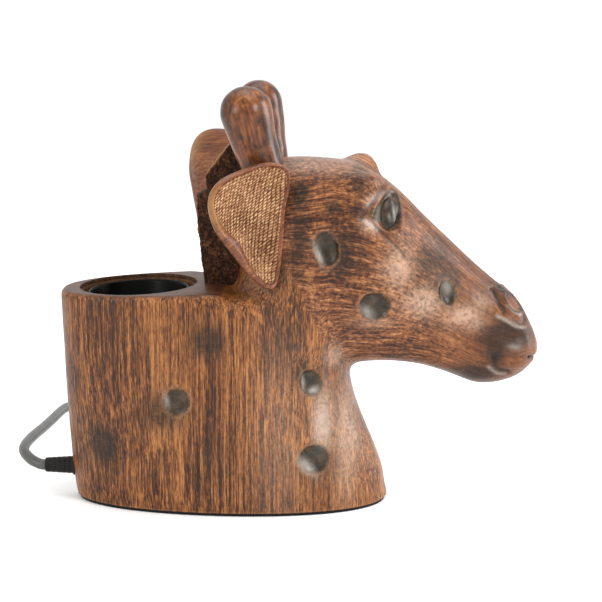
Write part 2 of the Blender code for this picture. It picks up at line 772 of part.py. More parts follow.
def core_wires():
    """The lead's two cores, from the nipple up to the lampholder's terminals."""
    for name, hand, surface in (("live_wire", 1, WIRE_BROWN), ("neutral_wire", -1, WIRE_BLUE)):
        route = (
            (BORE_X, BORE_Y + hand * 1.6, NIPPLE_TOP + 0.9),
            (BORE_X + hand * 0.5, BORE_Y + hand * 2.2, NIPPLE_TOP + 4),
            (BORE_X + hand * 3.0, BORE_Y + hand * 5.5, NIPPLE_TOP + 8.5),
            (BORE_X + hand * 4.0, BORE_Y + hand * 7.5, SHELL_BOTTOM - 0.2),
        )
        tube(name, smooth_points(route, 2.5), 1.1, surface, 1)


def inner_lead():
    """The lead inside the carving, from the strain relief to the top of the nipple."""
    route = (
        (-84.4, 0.0, CORD_EXIT_Z),
        (-77.0, 0.1, CORD_EXIT_Z - 0.2),
        (-68.0, 0.6, CORD_EXIT_Z + 0.6),
        (-61.0, 1.2, CORD_EXIT_Z + 4.5),
        (BORE_X, BORE_Y, CORD_EXIT_Z + 11.5),
        (BORE_X, BORE_Y, 45.0),
        (BORE_X, BORE_Y, NIPPLE_TOP + 0.4),
    )
    tube("inner_lead", smooth_points(route, 5.0), 3.0, CORD_PVC)


def strain_relief():
    """The tapered rubber sleeve that the lead leaves the carving in, and the clip behind the wall."""
    length = SEAT_X - RELIEF_END_X
    through = 12.8
    profile = (
        (0, length),
        (4.3, length),
        (4.6, length - 0.6),
        (5.5, 3.2),
        (6.4, 2.6),
        (6.4, GAP),
        (4.5, GAP),
        (4.5, -through + 1),
        (4.2, -through),
        (0, -through),
    )
    place = along((SEAT_X, 0, CORD_EXIT_Z), (-1, 0, 0))
    turned("strain_relief", profile, RUBBER, place, 28, closed=False)
    clip = ring_profile(4.5 + GAP, 8.2, -through + 0.8, -through + 1.9)
    turned("relief_clip", clip, ZINC, place, 24)


# ---- the lead outside, with its switch, coil and plug


def cords():
    spacing = 5.0 * CORD_RADIUS
    for name, route in (
        ("cord_to_switch", ROUTE_TO_SWITCH),
        ("cord_to_coil", ROUTE_TO_COIL),
        ("cord_to_plug", ROUTE_TO_PLUG),
    ):
        tube(name, smooth_points(route, spacing), CORD_RADIUS, CORD_PVC)
    inner, outer = COIL_RADIUS - COIL_HALF_WIDTH, COIL_RADIUS + COIL_HALF_WIDTH
    corner = 3.0
    bundle = (
        (outer - corner, COIL_TOP),
        (outer, COIL_TOP - corner),
        (outer, COIL_BOTTOM + corner),
        (outer - corner, COIL_BOTTOM),
        (inner + corner, COIL_BOTTOM),
        (inner, COIL_BOTTOM + corner),
        (inner, COIL_TOP - corner),
        (inner + corner, COIL_TOP),
    )
    turned("cord_coil", bundle, CORD_PVC, at(COIL_X, COIL_Y, 0), 48)


def coil_tie():
    """The strap round the coil's turns, at the coil's +X side."""
    half_in, half_out = COIL_HALF_WIDTH + 0.9, COIL_HALF_WIDTH + 1.9
    x = COIL_X + COIL_RADIUS
    strap = box(
        "cord_tie", (x - half_out, COIL_Y - 4.5, 0), (x + half_out, COIL_Y + 4.5, COIL_TOP + 1.4), RUBBER
    )
    inside = box(
        "tie_inside",
        (x - half_in, COIL_Y - 6, COIL_BOTTOM - 0.4),
        (x + half_in, COIL_Y + 6, COIL_TOP + 0.4),
    )
    boolean(strap, inside)


def switch_half(name, bottom, top, open_towards, wall=1.8):
    """One half of the switch's case: a rounded box that is hollow towards the other half."""
    half_x, half_y = SWITCH_LENGTH / 2, SWITCH_WIDTH / 2
    low = (SWITCH_X - half_x, SWITCH_Y - half_y, bottom)
    high = (SWITCH_X + half_x, SWITCH_Y + half_y, top)
    case = box(name, low, high, SWITCH_PLASTIC, bevel=1.2)
    hollow_low = Vector(low) + Vector((wall, wall, wall if open_towards > 0 else -2))
    hollow_high = Vector(high) - Vector((wall, wall, wall if open_towards < 0 else -2))
    boolean(case, box(f"{name}_hollow", hollow_low, hollow_high))
    return case


def switch_case():
    base_half = switch_half("switch_base", 0.0, SWITCH_SPLIT, 1)
    cover = switch_half("switch_cover", SWITCH_SPLIT + GAP, SWITCH_TOP, -1)
    for number, shift in enumerate((-24.0, 24.0), 1):
        x = SWITCH_X + shift
        foot = rod_mesh(f"switch_foot_{number}", 3.4, SWITCH_SPLIT - 1, 16)
        boss = rod_mesh(f"switch_boss_{number}", 3.4, SWITCH_TOP - SWITCH_SPLIT - GAP - 1, 16)
        boolean(base_half, add(f"switch_foot_{number}", foot, None, at(x, SWITCH_Y, 1)), "UNION")
        boss_place = at(x, SWITCH_Y, SWITCH_SPLIT + GAP)
        boolean(cover, add(f"switch_boss_{number}", boss, None, boss_place), "UNION")
        shaft = rod_mesh(f"switch_shaft_{number}", 1.6, 18, 12)
        drill = add(f"switch_shaft_{number}", shaft, None, at(x, SWITCH_Y, -2))
        head_hole = rod_mesh(f"switch_head_{number}", 2.7, 4, 16)
        boolean(base_half, drill)
        boolean(base_half, add(f"switch_head_{number}", head_hole, None, at(x, SWITCH_Y, -2)))
        boolean(cover, drill)
        screw = ((0, 15.0), (1.2, 14.4), (1.2, 1.7), (2.3, 1.7), (2.3, 0.4), (0, 0.4))
        turned(f"switch_screw_{number}", screw, ZINC, at(x, SWITCH_Y, 0), 14, closed=False)
    for hand in (-1, 1):
        ear_low = (SWITCH_X - 2.6, SWITCH_Y + hand * 7.4 - 1.2, 12.6)
        ear_high = (SWITCH_X + 2.6, SWITCH_Y + hand * 7.4 + 1.2, SWITCH_TOP - 0.9)
        boolean(cover, box(f"pin_post_{hand}", ear_low, ear_high), "UNION")
    window_low = (SWITCH_X - 8.4, SWITCH_Y - 5.6, SWITCH_TOP - 4)
    window_high = (SWITCH_X + 8.4, SWITCH_Y + 5.6, SWITCH_TOP + 2)
    boolean(cover, box("rocker_window", window_low, window_high))
    pin_place = along((SWITCH_X, SWITCH_Y - 9.4, ROCKER_PIVOT_Z), (0, 1, 0))
    pin_hole = add("pin_hole", rod_mesh("pin_hole", 1.0 + GAP, 18.8, 12), None, pin_place)
    boolean(cover, pin_hole)
    return pin_hole


def rocker(pin_hole):
    """The rocker lies tilted in its off position, and turns about its pin at its origin."""
    top = ((-7.2, 5.0), (-3.6, 4.1), (0.0, 3.7), (3.6, 4.1), (7.2, 5.0))
    outline = (*top, (7.2, -0.4), (4.2, -2.8), (-4.2, -2.8), (-7.2, -0.4))
    flat = flat_outline("switch_rocker", outline, 9.8, SWITCH_PLASTIC, SIDEWAYS)
    button = solid_of(flat)
    button.data.transform(Matrix.Rotation(math.radians(ROCKER_TILT), 4, "Y") @ SIDEWAYS)
    button.matrix_world = at(SWITCH_X, SWITCH_Y, ROCKER_PIVOT_Z)
    boolean(button, pin_hole)
    pin = rod_mesh("rocker_pin", 1.0, 17.6, 12)
    pin_place = along((SWITCH_X, SWITCH_Y - 8.8, ROCKER_PIVOT_Z), (0, 1, 0))
    add("rocker_pin", pin, ZINC, pin_place)


def switch_contacts():
    """The two brass strips that the rocker's foot brings together."""
    for number, hand in enumerate((-1, 1), 1):
        strip = ((hand * 2.0, 4.6), (hand * 4.5, 2.6), (hand * 17.0, 2.2))
        outline = (*strip, *((x, z + 0.9) for x, z in reversed(strip)))
        place = at(SWITCH_X, SWITCH_Y, 0) @ SIDEWAYS
        solid_of(flat_outline(f"switch_contact_{number}", outline, 6.0, BRASS, place))


def plug():
    """A flat two-pin plug that lies on its broad side, with its pins towards -X."""
    sections = ((0.0, 17.6, 6.8), (2.0, 17.7, 6.9), (19.0, 16.8, 6.9), (28.0, 11.0, 6.6), (PLUG_LENGTH, 5.6, 5.0))
    rings = []
    for distance, half_width, half_height in sections:
        row = (0, -half_height, half_height, 0, half_width, 5.0, 5.0)
        rings.append([(PLUG_FACE_X + distance, PLUG_Y + y, PLUG_Z + z) for z, y in egg(row, 32)])
    body = add("plug_body", loft("plug_body", rings), SWITCH_PLASTIC)
    for number, hand in enumerate((-1, 1), 1):
        y = PLUG_Y + hand * PIN_SPACING / 2
        hole = rod_mesh(f"pin_socket_{number}", 2.0 + GAP, 12, 16)
        place = along((PLUG_FACE_X + 9.4, y, PLUG_Z), (-1, 0, 0))
        boolean(body, add(f"pin_socket_{number}", hole, None, place))
        pin = ((0, 28.0), (1.4, 27.6), (2.0, 26.4), (2.0, GAP), (0, GAP))
        turned(f"plug_pin_{number}", pin, BRASS, place, 16, closed=False)


def main():
    carving()
    base()
    cup()
    nipple()
    lampholder()
    screw_shell()
    centre_contact()
    core_wires()
    inner_lead()
    strain_relief()
    cords()
    coil_tie()
    rocker(switch_case())
    switch_contacts()
    plug()


main()
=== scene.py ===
"""The looks of the carved giraffe lamp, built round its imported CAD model. Lengths here are in mm."""

import json
import math

import bmesh
import bpy
import numpy as np
from mathutils import Matrix, Vector, noise


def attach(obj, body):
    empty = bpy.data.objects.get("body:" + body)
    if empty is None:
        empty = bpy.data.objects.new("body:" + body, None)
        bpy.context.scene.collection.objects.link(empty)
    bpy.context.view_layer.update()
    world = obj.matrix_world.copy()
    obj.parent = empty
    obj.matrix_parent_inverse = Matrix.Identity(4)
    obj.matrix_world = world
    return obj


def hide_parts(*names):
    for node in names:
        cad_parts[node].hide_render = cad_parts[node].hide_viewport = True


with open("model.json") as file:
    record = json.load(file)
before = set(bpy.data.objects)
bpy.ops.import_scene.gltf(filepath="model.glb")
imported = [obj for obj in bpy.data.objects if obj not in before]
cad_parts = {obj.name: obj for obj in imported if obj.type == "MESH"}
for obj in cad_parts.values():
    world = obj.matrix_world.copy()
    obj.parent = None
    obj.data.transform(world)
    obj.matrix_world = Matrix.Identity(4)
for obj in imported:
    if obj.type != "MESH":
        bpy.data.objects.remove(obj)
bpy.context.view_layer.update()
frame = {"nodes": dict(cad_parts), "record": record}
MM = 0.001
BODY = "lamp"

# ---- places that repeat the CAD's own numbers

STUMP_TOP, UNDERSIDE = 134, 2.3
BORE = (-58, 1.5)
BORE_RADIUS, BORE_FLOOR = 34.7, 57.0
LEDGE_RADIUS, LEDGE_DEPTH = 36.3, 2.4
CUP_RADIUS, CUP_BOTTOM, CUP_TOP = 30.5, 57.4, 131.3
CORD_RADIUS = 3.4
ROUTE_TO_SWITCH = (
    (-110, 0, 19.5), (-119.8, 0, 19.5), (-122.4, 0.3, 19.8), (-126.8, 2.6, 21), (-131.4, 7.6, 22.6),
    (-134.9, 15, 23.9), (-136.3, 27, 24.4), (-135.4, 50, 23.4), (-133, 80, 21.2), (-131, 110, 19.2),
    (-129.4, 140, 17), (-127, 163, 14), (-120, 181, 10), (-107.5, 192, 6.6), (-94, 195.6, 6.6),
    (-85, 195.6, 8.4), (-76, 195, 9.2), (-47, 195, 9.2), (-18, 195, 9.2),
)
ROUTE_TO_COIL = ((-10, 194.7, 8.2), (-2, 193.4, 6.2), (8, 191.4, 5), (17.5, 190.5, 4.8))
ROUTE_TO_PLUG = (
    (12.2, 91.8, 11.7), (-1.5, 88.5, 9.4), (-16, 90.2, 5.6), (-31, 93.4, 4.8), (-42, 94.7, 6.3),
    (-50, 95, 6.9), (-58, 95, 6.9),
)
COIL = (26, 140)
# The CAD nodes that go with the lead
RELIEF_SEAT_X = -98.6
TURN_PITCH, TURNS = 6.9, 5.472
FIRST_TURN_RADIUS, FOURTH_TURN_RADIUS, TURN_HEIGHT = 50.35, 29.65, 4.8
# The carving's outlines. A row is a level, its low and high ends, where it is widest, half its
# width there, and how square its low and high halves are. The levels go up Z in the stump and the
# neck, and forwards along X in the head.
STUMP_ROWS = (
    (1, -98.6, 97, 12, 45.6, 1.95, 2.3), (8, -99.8, 95.6, 12, 46.2, 1.95, 2.3),
    (17, -100.7, 94.3, 11, 46.2, 2, 2.3), (26, -101.4, 91.6, 10, 46, 2, 2.3),
    (36, -102, 87.6, 9, 46, 2, 2.3), (50, -102.8, 81.8, 6, 45.8, 2.1, 2.3),
    (64, -103.4, 76.4, 3, 45.6, 2.2, 2.3), (80, -104, 73, 0, 45.4, 2.3, 2.3),
    (108, -104.9, 71, -5, 45.2, 2.4, 2.3), (130, -105.5, 69, -8, 45, 2.4, 2.3),
    (132.4, -105.2, 68, -8, 44.7, 2.4, 2.3), (133.6, -104.2, 67, -8, 43.7, 2.4, 2.3),
    (134, -102.8, 66, -8, 42.3, 2.4, 2.3),
)
NECK_ROWS = (
    (72, 6, 60, 32, 33, 2.3, 2.3), (100, -5, 71, 32, 42.4, 2.3, 2.3),
    (125, 0, 71.5, 34, 42, 2.3, 2.3), (142, 4, 71, 36, 39.5, 2.3, 2.3),
    (160, 6, 70, 37, 36, 2.2, 2.2), (182, 8, 68, 38, 32, 2.1, 2.1), (198, 12, 62, 38, 26, 2, 2),
)
HEAD_ROWS = (
    (3, 176, 202, 188, 18, 2, 2), (11, 152, 210, 180, 27, 2, 2.2),
    (30, 108, 214, 168, 33, 2.2, 2.4), (55, 89, 214, 162, 36.5, 2.3, 2.4),
    (78, 87, 210, 160, 38.5, 2.2, 2.5), (98, 88, 197.5, 150, 35.5, 2.2, 2.5),
    (116, 86, 180.5, 134, 31, 2.2, 2.4), (135, 80, 162.5, 121, 26.5, 2.3, 2.3),
    (150, 74.5, 148.5, 113, 24, 2.4, 2.3), (163, 74.5, 137.5, 107, 23.5, 2.4, 2.3),
    (174, 77.5, 129.5, 104, 22.5, 2.3, 2.3), (181, 82, 119, 101, 19.5, 2.2, 2.2),
    (186.5, 88, 108, 97, 14, 2, 2), (189, 92, 101, 96.5, 7, 2, 2),
)
EAR_OUTLINE = (
    (-1.5, 29.5), (11, 36), (30, 33), (46.5, 26), (52.5, 14.5), (48.5, -1), (36, -18), (20, -35.5),
    (8.5, -38.5), (4, -18), (1.5, 8),
)
EAR_CENTRE = (24, 2)
EAR_DISH, EAR_THICKNESS = 8, 5.0
# Each ear's root, how far it swings out from straight back, and how far it cocks up
EARS = {
    "right": ((35, -36.5, 179.5), 32, 0),
    "left": ((10, 39, 185), 30, 24),
}
EAR_BOSSES = (((30, -25, 172), 12), ((8, 27, 186), 13))
# Each ossicone's foot, the way it leans and its knob's radius
OSSICONES = {
    "right": ((20, -20, 206), (-9.8, -2, 36), 15.5),
    "left": ((23, 20, 206), (-6.5, 1.5, 38), 14.6),
}
MANE_OUTLINE = (
    (10, 134.4), (-16.5, 134.4), (-18.5, 152), (-21, 176), (-21, 192), (-15, 194.5), (-15.4, 204.6),
    (-1.3, 222.6), (10, 223),
)
MANE_HALF_WIDTH = 5.5

# ---- the carving's own detail, seen from the side: places are along X and up Z

# Each dent's middle, its two radii, the turn of the first one in degrees and its depth
DENTS = (
    (57.6, 163.7, 7, 10.5, 15, 3), (86.5, 128.5, 9.4, 8.8, 0, 3.6),
    (130.3, 135.2, 5.4, 7.8, 18, 3.2), (48.5, 81.7, 6.6, 8.6, 20, 3.2),
    (50.2, 35.2, 9.4, 9, 0, 3.4), (-32, 71.8, 8, 8.6, 0, 2),
)
# Dark patches of patina, and painted shade under the nostril fold, the jaw and the brow, soft with no
# edge, as a middle, two radii and a strength
SHADE_AND_PATCHES = (
    (-13, 108, 11, 10, 0.9), (-79, 40.7, 9, 13, 1), (-40, 66, 14, 13, 0.8), (42, 195, 5, 6, 0.95),
    (61, 188, 5, 4, 0.8), (77, 202, 4.5, 6.5, 0.7), (75, 187, 4, 4.5, 0.6), (74, 174, 4, 3.5, 0.6),
    (64, 161, 11, 14, 0.75), (41, 166, 5, 22, 0.6), (131, 144, 9, 11, 0.9),
    (124, 157, 11, 13, 0.72), (169, 108, 16, 8.5, 1.2), (161, 101, 6, 12, 1), (148, 83, 17, 6, 1),
    (164, 137, 13, 9, 0.45), (150, 153, 12, 8, 0.38), (134, 168, 12, 8, 0.32),
    (117, 184, 11, 8, 0.32), (-40, 92, 20, 34, 0.12), (178, 105, 8, 6, 0.7), (45, 88, 10, 10, 0.55),
    (53, 30, 14, 10, 0.5), (27, 150, 8, 14, 0.7), (-10, 40, 7, 26, 0.25),
)
# Small painted highlights in the dents and on the lip and the neck, as a middle, two radii, the turn of
# the first one and a strength
PAINTED_GLINTS = (
    (52.4, 160.5, 1.6, 6.5, 22, 0.75), (82.5, 124.5, 5, 2.4, -38, 0.55),
    (130.6, 138.5, 2.6, 4.2, 18, 0.6), (50.5, 76.5, 3.4, 2.2, 20, 0.75), (43.6, 82, 1, 5, 5, 0.55),
    (45.6, 31, 2.6, 7, 42, 0.7), (55, 56, 5, 13, 0, 0.4), (172, 101, 4.5, 1.8, -10, 0.35),
    (-38.2, 72.5, 1.4, 5, 12, 0.5),
)
# Painted sheen: pale places where highlights fall on the cheek, the brow, the neck and the stump's right
# side, as a middle, two radii and a strength
PAINTED_SHEEN_SPOTS = (
    (101, 152, 9, 12, 1), (83, 178, 5, 4.5, 0.85), (86, 193, 4.5, 2.6, 0.7), (148, 116, 7, 5, 0.8),
    (141, 121, 12, 7, 1), (151, 127, 6, 7, 0.5), (117, 131, 13, 10, 1), (56, 58, 7, 22, 1),
    (70, 46, 8, 34, 0.85), (62, 96, 6, 8, 0.6), (30, 50, 17, 62, 0.25), (52, 212, 34, 4.5, 0.5),
    (87, 118, 12, 4, 0.4),
)
# Thin painted highlights along rims, ridges and lids, as a line, a width and a strength
PAINTED_HIGHLIGHT_LINES = (
    (((168, 126.2), (172.7, 122.4), (176.2, 120.4)), 0.9, 0.65),
    (((161.4, 120.2), (166.5, 117.6), (172.6, 114), (177.7, 112.6)), 1, 0.55),
    (((158.4, 133.4), (161.8, 127.8)), 0.7, 0.4),
    (((157.5, 87.8), (163.2, 83.4), (168, 83)), 1.2, 0.4),
    (((82, 189), (90.4, 195.8)), 1.2, 0.5),
    (((79.5, 180.4), (87.7, 175.4)), 1.4, 0.5),
    (((97.4, 180), (97.8, 186), (96.8, 190)), 0.7, 0.2),
    (((87.6, 180), (88.6, 187)), 1.6, 0.28),
)
UPPER_LID = (
    (84, 183.2), (88, 190.5), (94.5, 197), (100, 194.5), (102.4, 184), (101.8, 176),
)
LOWER_LID = ((84, 183), (88.5, 177.5), (94, 173.4), (101.5, 174.4))
LID_FOLD = ((78, 181.5), (83, 188.5), (91.5, 198.4))
TEAR_FOLD = ((84, 180.6), (91, 172.5), (99, 165), (106, 156))
NOSTRIL_ARCH = ((163, 135.7), (171.2, 131.5), (176.4, 125.9), (178.8, 121.7), (179.2, 116.5))
NOSTRIL_FOLD = ((161.4, 119.7), (166.5, 117.2), (172.6, 113.5), (177.7, 112.2))
NOSTRIL_BACK = ((159.2, 134.8), (162.4, 128.1), (166.1, 122.4))
NOSTRIL = (172.3, 126.7, 6.4, 3.1, -40)
MOUTH = ((191, 92.2), (187, 91.9), (182.5, 92.8))
LIP_LINE = ((183, 92.8), (174, 95.2), (165, 95), (161, 93.5))
LIP_CORNER = ((160.4, 95.9), (160, 92.3), (160.6, 88.6), (164.2, 86), (169.3, 84.7))
EYE_EDGE = ((100.2, 194), (101.2, 185), (100.8, 177.5))
# Narrow folds that stand out of the skin or go into it, as a line, a height and a width
FACE_FOLDS = (
    (UPPER_LID, 1.9, 1.5), (LOWER_LID, 1.5, 1.3), (LID_FOLD, -1.1, 1.6), (TEAR_FOLD, -0.9, 1.8),
    (LIP_LINE, -0.7, 1.4), (LIP_CORNER, -1.5, 1.8),
)
NOSTRIL_FOLDS = ((NOSTRIL_ARCH, -1, 1.1), (NOSTRIL_FOLD, 2.2, 1.9), (NOSTRIL_BACK, -2.2, 1.5))
# Broad folds at the brow, the cheek and the jaw, as straight runs, a height and a width
BROAD_FOLDS = (
    (((78, 199), (90, 203), (100, 200)), 2.4, 4),
    (((99, 168), (112, 150), (130, 132)), 1.3, 7),
    (((96, 95), (120, 91), (140, 86)), 1, 4.5),
)
# Swells and hollows of the cheek, the lips and the chin, as an oval and a height
SWELLS = (
    (118, 112, 20, 10, -12, -1.6), (167, 108.5, 13, 5.5, -8, -1.9), (173, 99.5, 9.5, 4.8, 0, 1.9),
    (173, 90, 10, 4.6, 0, 1.7), (154, 81.5, 10, 5, 0, 1.2),
)
# Painted shade in the folds, as a line, a strength and a width
FACE_CREASE_SHADE = (
    (LIP_CORNER, 0.75, 2), (LIP_LINE, 0.3, 1.5), (LID_FOLD, 0.7, 0.9), (TEAR_FOLD, 0.6, 0.9),
    (EYE_EDGE, 0.6, 1.2),
)
NOSTRIL_CREASE_SHADE = ((NOSTRIL_BACK, 0.8, 1.5), (NOSTRIL_ARCH, 0.95, 1.2))
# The lines that the joins between stump, neck and head are softened along, with a width and a share
SOFT_JOINS = (
    (((40, 118), (60, 100), (74, 86), (84, 86)), 11, 1),
    (((-6, 134), (8, 142)), 6, 0.6),
    (((2, 150), (14, 160), (30, 172)), 13, 1),
)
# Where the upright streaks of the stump give way to those of the head: levels, and X at each
BORDER_LEVELS = (70, 74, 80, 84, 112, 150, 170, 200, 230)
BORDER_PLACES = (230, 100, 88, 76, 54, 36, 24, 0, -30)


# ---- meshes


def at(x, y, z):
    return Matrix.Translation(Vector((x, y, z)) * MM)


def along(place, direction):
    """A frame at a place whose own Z points in a direction."""
    return at(*place) @ Vector(direction).normalized().to_track_quat("Z", "Y").to_matrix().to_4x4()


def loose_object(name, data):
    made = bpy.data.objects.new(name, data)
    bpy.context.scene.collection.objects.link(made)
    return made


def piece(name, mesh, surface, node, angle=40.0):
    """A mesh as a piece of the lamp that stands for a CAD node."""
    made = loose_object(name, mesh)
    mesh.materials.clear()
    mesh.materials.append(surface)
    mesh.shade_smooth()
    mesh.set_sharp_from_angle(angle=math.radians(angle))
    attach(made, BODY)
    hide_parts(node)
    return made


def as_mesh(name, built):
    mesh = bpy.data.meshes.new(name)
    bmesh.ops.recalc_face_normals(built, faces=built.faces)
    built.to_mesh(mesh)
    built.free()
    return mesh


def rings_mesh(name, rings, closed=False):
    """A skin over rings of points, with a flat or pointed cap at each end."""
    built = bmesh.new()
    rows = [[built.verts.new(Vector(point) * MM) for point in ring] for ring in rings]
    pairs = list(zip(rows, rows[1:]))
    if closed:
        pairs.append((rows[-1], rows[0]))
    for lower, upper in pairs:
        for i in range(len(lower)):
            j = (i + 1) % len(lower)
            built.faces.new((lower[i], lower[j], upper[j], upper[i]))
    if not closed:
        built.faces.new(list(reversed(rows[0])))
        built.faces.new(rows[-1])
    return as_mesh(name, built)


def turned_mesh(name, profile, place, sides=96, closed=True):
    """A profile of radius and height turned round its own Z."""
    rings = []
    for radius, height in profile:
        ring = []
        for step in range(sides):
            turn = math.tau * step / sides
            reach = max(radius, 0.02)
            ring.append((reach * math.cos(turn), reach * math.sin(turn), height))
        rings.append(ring)
    mesh = rings_mesh(name, rings, closed)
    mesh.transform(place)
    return mesh


def egg(row, count):
    """An outline round a level: two half superellipses that meet where it is widest."""
    _level, low, high, widest, half, square_low, square_high = row
    points = []
    for step in range(count):
        turn = math.tau * (step + 0.5) / count
        c, s = math.cos(turn), math.sin(turn)
        reach, power = (high - widest, square_high) if c > 0 else (widest - low, square_low)
        points.append(
            (
                widest + math.copysign(reach * abs(c) ** (2 / power), c),
                math.copysign(half * abs(s) ** (2 / power), s),
            )
        )
    return points


def curve_point(before, start, end, after, t):
    """A point on the Catmull-Rom curve between two of its points."""
    return 0.5 * (
        2 * start
        + (end - before) * t
        + (2 * before - 5 * start + 4 * end - after) * t**2
        + (3 * start - before - 3 * end + after) * t**3
    )


def smooth_points(route, spacing):
    """Points a spacing apart along a Catmull-Rom curve through a route."""
    points = [Vector(point) for point in route]
    ends = [2 * points[0] - points[1], *points, 2 * points[-1] - points[-2]]
    found = []
    for before, start, end, after in zip(ends, ends[1:], ends[2:], ends[3:]):
        pieces = max(1, round((end - start).length / spacing))
        found += [curve_point(before, start, end, after, step / pieces) for step in range(pieces)]
    return [*found, points[-1]]


def closed_outline(points, each):
    """A smooth outline through a ring of points, with a number of steps from each to the next."""
    count = len(points)
    found = []
    for i in range(count):
        corners = [Vector(points[(i + k) % count]) for k in (-1, 0, 1, 2)]
        found += [curve_point(*corners, step / each) for step in range(each)]
    return found


def fine_rows(rows, spacing):
    """The rows with smooth rows between them, so that their skin has no steps."""
    rows = np.array(rows, float)
    ends = np.vstack([2 * rows[0] - rows[1], rows, 2 * rows[-1] - rows[-2]])
    found = []
    for before, start, end, after in zip(ends, ends[1:], ends[2:], ends[3:]):
        pieces = max(1, round((end[0] - start[0]) / spacing))
        found += [curve_point(before, start, end, after, step / pieces) for step in range(pieces)]
    return [*found, rows[-1]]


def applied(shape):
    """A mesh with the object's modifiers in it. The object goes."""
    mesh = bpy.data.meshes.new_from_object(
        shape.evaluated_get(bpy.context.evaluated_depsgraph_get())
    )
    bpy.data.objects.remove(shape, do_unlink=True)
    return mesh


def combined(name, base, others, operation):
    """The base mesh joined with or cut by the others."""
    shape = loose_object(name, base)
    helpers = []
    for i, other in enumerate(others):
        helper = loose_object(f"{name}_{operation}_{i}", other)
        step = shape.modifiers.new(f"step_{i}", "BOOLEAN")
        step.operation = operation
        step.solver = "EXACT"
        step.object = helper
        helpers.append(helper)
    mesh = applied(shape)
    for helper in helpers:
        bpy.data.objects.remove(helper, do_unlink=True)
    return mesh


def remeshed(name, mesh, voxel):
    """The mesh as one even skin of small squares."""
    shape = loose_object(name, mesh)
    step = shape.modifiers.new("grid", "REMESH")
    step.mode = "VOXEL"
    step.voxel_size = voxel * MM
    return applied(shape)


def places_of(mesh):
    found = np.empty(len(mesh.vertices) * 3)
    mesh.vertices.foreach_get("co", found)
    return found.reshape(-1, 3) / MM


def put_places(mesh, places):
    mesh.vertices.foreach_set("co", (places * MM).ravel())
    mesh.update()


def normals_of(mesh):
    found = np.empty(len(mesh.vertices) * 3)
    mesh.vertex_normals.foreach_get("vector", found)
    return found.reshape(-1, 3)


def edges_of(mesh):
    found = np.empty(len(mesh.edges) * 2, int)
    mesh.edges.foreach_get("vertices", found)
    return found.reshape(-1, 2)


def averaged(values, edges, count):
    """Each point's mean over its neighbours."""
    first, second = edges[:, 0], edges[:, 1]
    total = np.stack(
        [
            np.bincount(first, values[second, k], len(values))
            + np.bincount(second, values[first, k], len(values))
            for k in range(values.shape[1])
        ],
        axis=1,
    )
    return total / count


def relaxed(places, edges, rounds, weight=0.5, regrow=-0.52):
    """Evens out a skin. A regrow below 0 keeps it from shrinking."""
    count = np.maximum(np.bincount(edges.ravel(), minlength=len(places)), 1)[:, None]
    for _round in range(rounds):
        places = places + weight * (averaged(places, edges, count) - places)
        if regrow:
            places = places + regrow * (averaged(places, edges, count) - places)
    return places


def step_up(values, low, high):
    """0 below low, 1 above high, and smooth between them."""
    t = np.clip((values - low) / (high - low), 0, 1)
    return t * t * (3 - 2 * t)


def oval(x, z, middle_x, middle_z, radius_x, radius_z, turn=0.0):
    """How far a place is from an oval's middle: 1 on its edge."""
    c, s = math.cos(math.radians(turn)), math.sin(math.radians(turn))
    u = (x - middle_x) * c + (z - middle_z) * s
    v = (z - middle_z) * c - (x - middle_x) * s
    return np.hypot(u / radius_x, v / radius_z)


def off_line(x, z, line):
    """The distance to the nearest place on a line of points."""
    best = np.full(len(x), 1e9)
    for (ax, az), (bx, bz) in zip(line, line[1:]):
        run = max((bx - ax) ** 2 + (bz - az) ** 2, 1e-9)
        t = np.clip(((x - ax) * (bx - ax) + (z - az) * (bz - az)) / run, 0, 1)
        best = np.minimum(best, np.hypot(x - ax - t * (bx - ax), z - az - t * (bz - az)))
    return best


def near_line(x, z, line, width):
    """1 on a line of points, and fading over a width."""
    return np.exp(-((off_line(x, z, line) / width) ** 2))


def smooth_line(line):
    return [tuple(point)[:2] for point in smooth_points([(*point, 0.0) for point in line], 1.5)]


def ridge(x, z, line, width):
    return near_line(x, z, smooth_line(line), width)


def folded(x, z, folds):
    """What some folds add up to, each a line, a height and a width."""
    return sum(height * ridge(x, z, line, width) for line, height, width in folds)


def blot(x, z, *shape, power=2):
    """1 in the middle of an oval, and fading over its radii."""
    return np.exp(-(oval(x, z, *shape) ** power))


def strongest(x, z, spots):
    """The strongest of some ovals at each place. An oval's strength is its last number."""
    found = np.zeros(len(x))
    for *shape, strength in spots:
        found = np.maximum(found, strength * blot(x, z, *shape))
    return found


def store(mesh, name, values):
    """Puts numbers on a mesh's points for its material to read."""
    kind = "FLOAT" if values.ndim == 1 else "FLOAT_VECTOR"
    made = mesh.attributes.new(name, kind, "POINT")
    made.data.foreach_set("value" if values.ndim == 1 else "vector", values.ravel())


def grainy(places, size, seed):
    """Smooth noise from -1 to 1 at each place."""
    return np.array([noise.noise(Vector(place) / size + Vector((seed, 0, 0))) for place in places])


# ---- materials


def paint(red, green, blue):
    """A colour as a screen shows it, made linear."""
    return tuple(
        c / 12.92 if c <= 0.04045 else ((c + 0.055) / 1.055) ** 2.4
        for c in (red / 255, green / 255, blue / 255)
    )


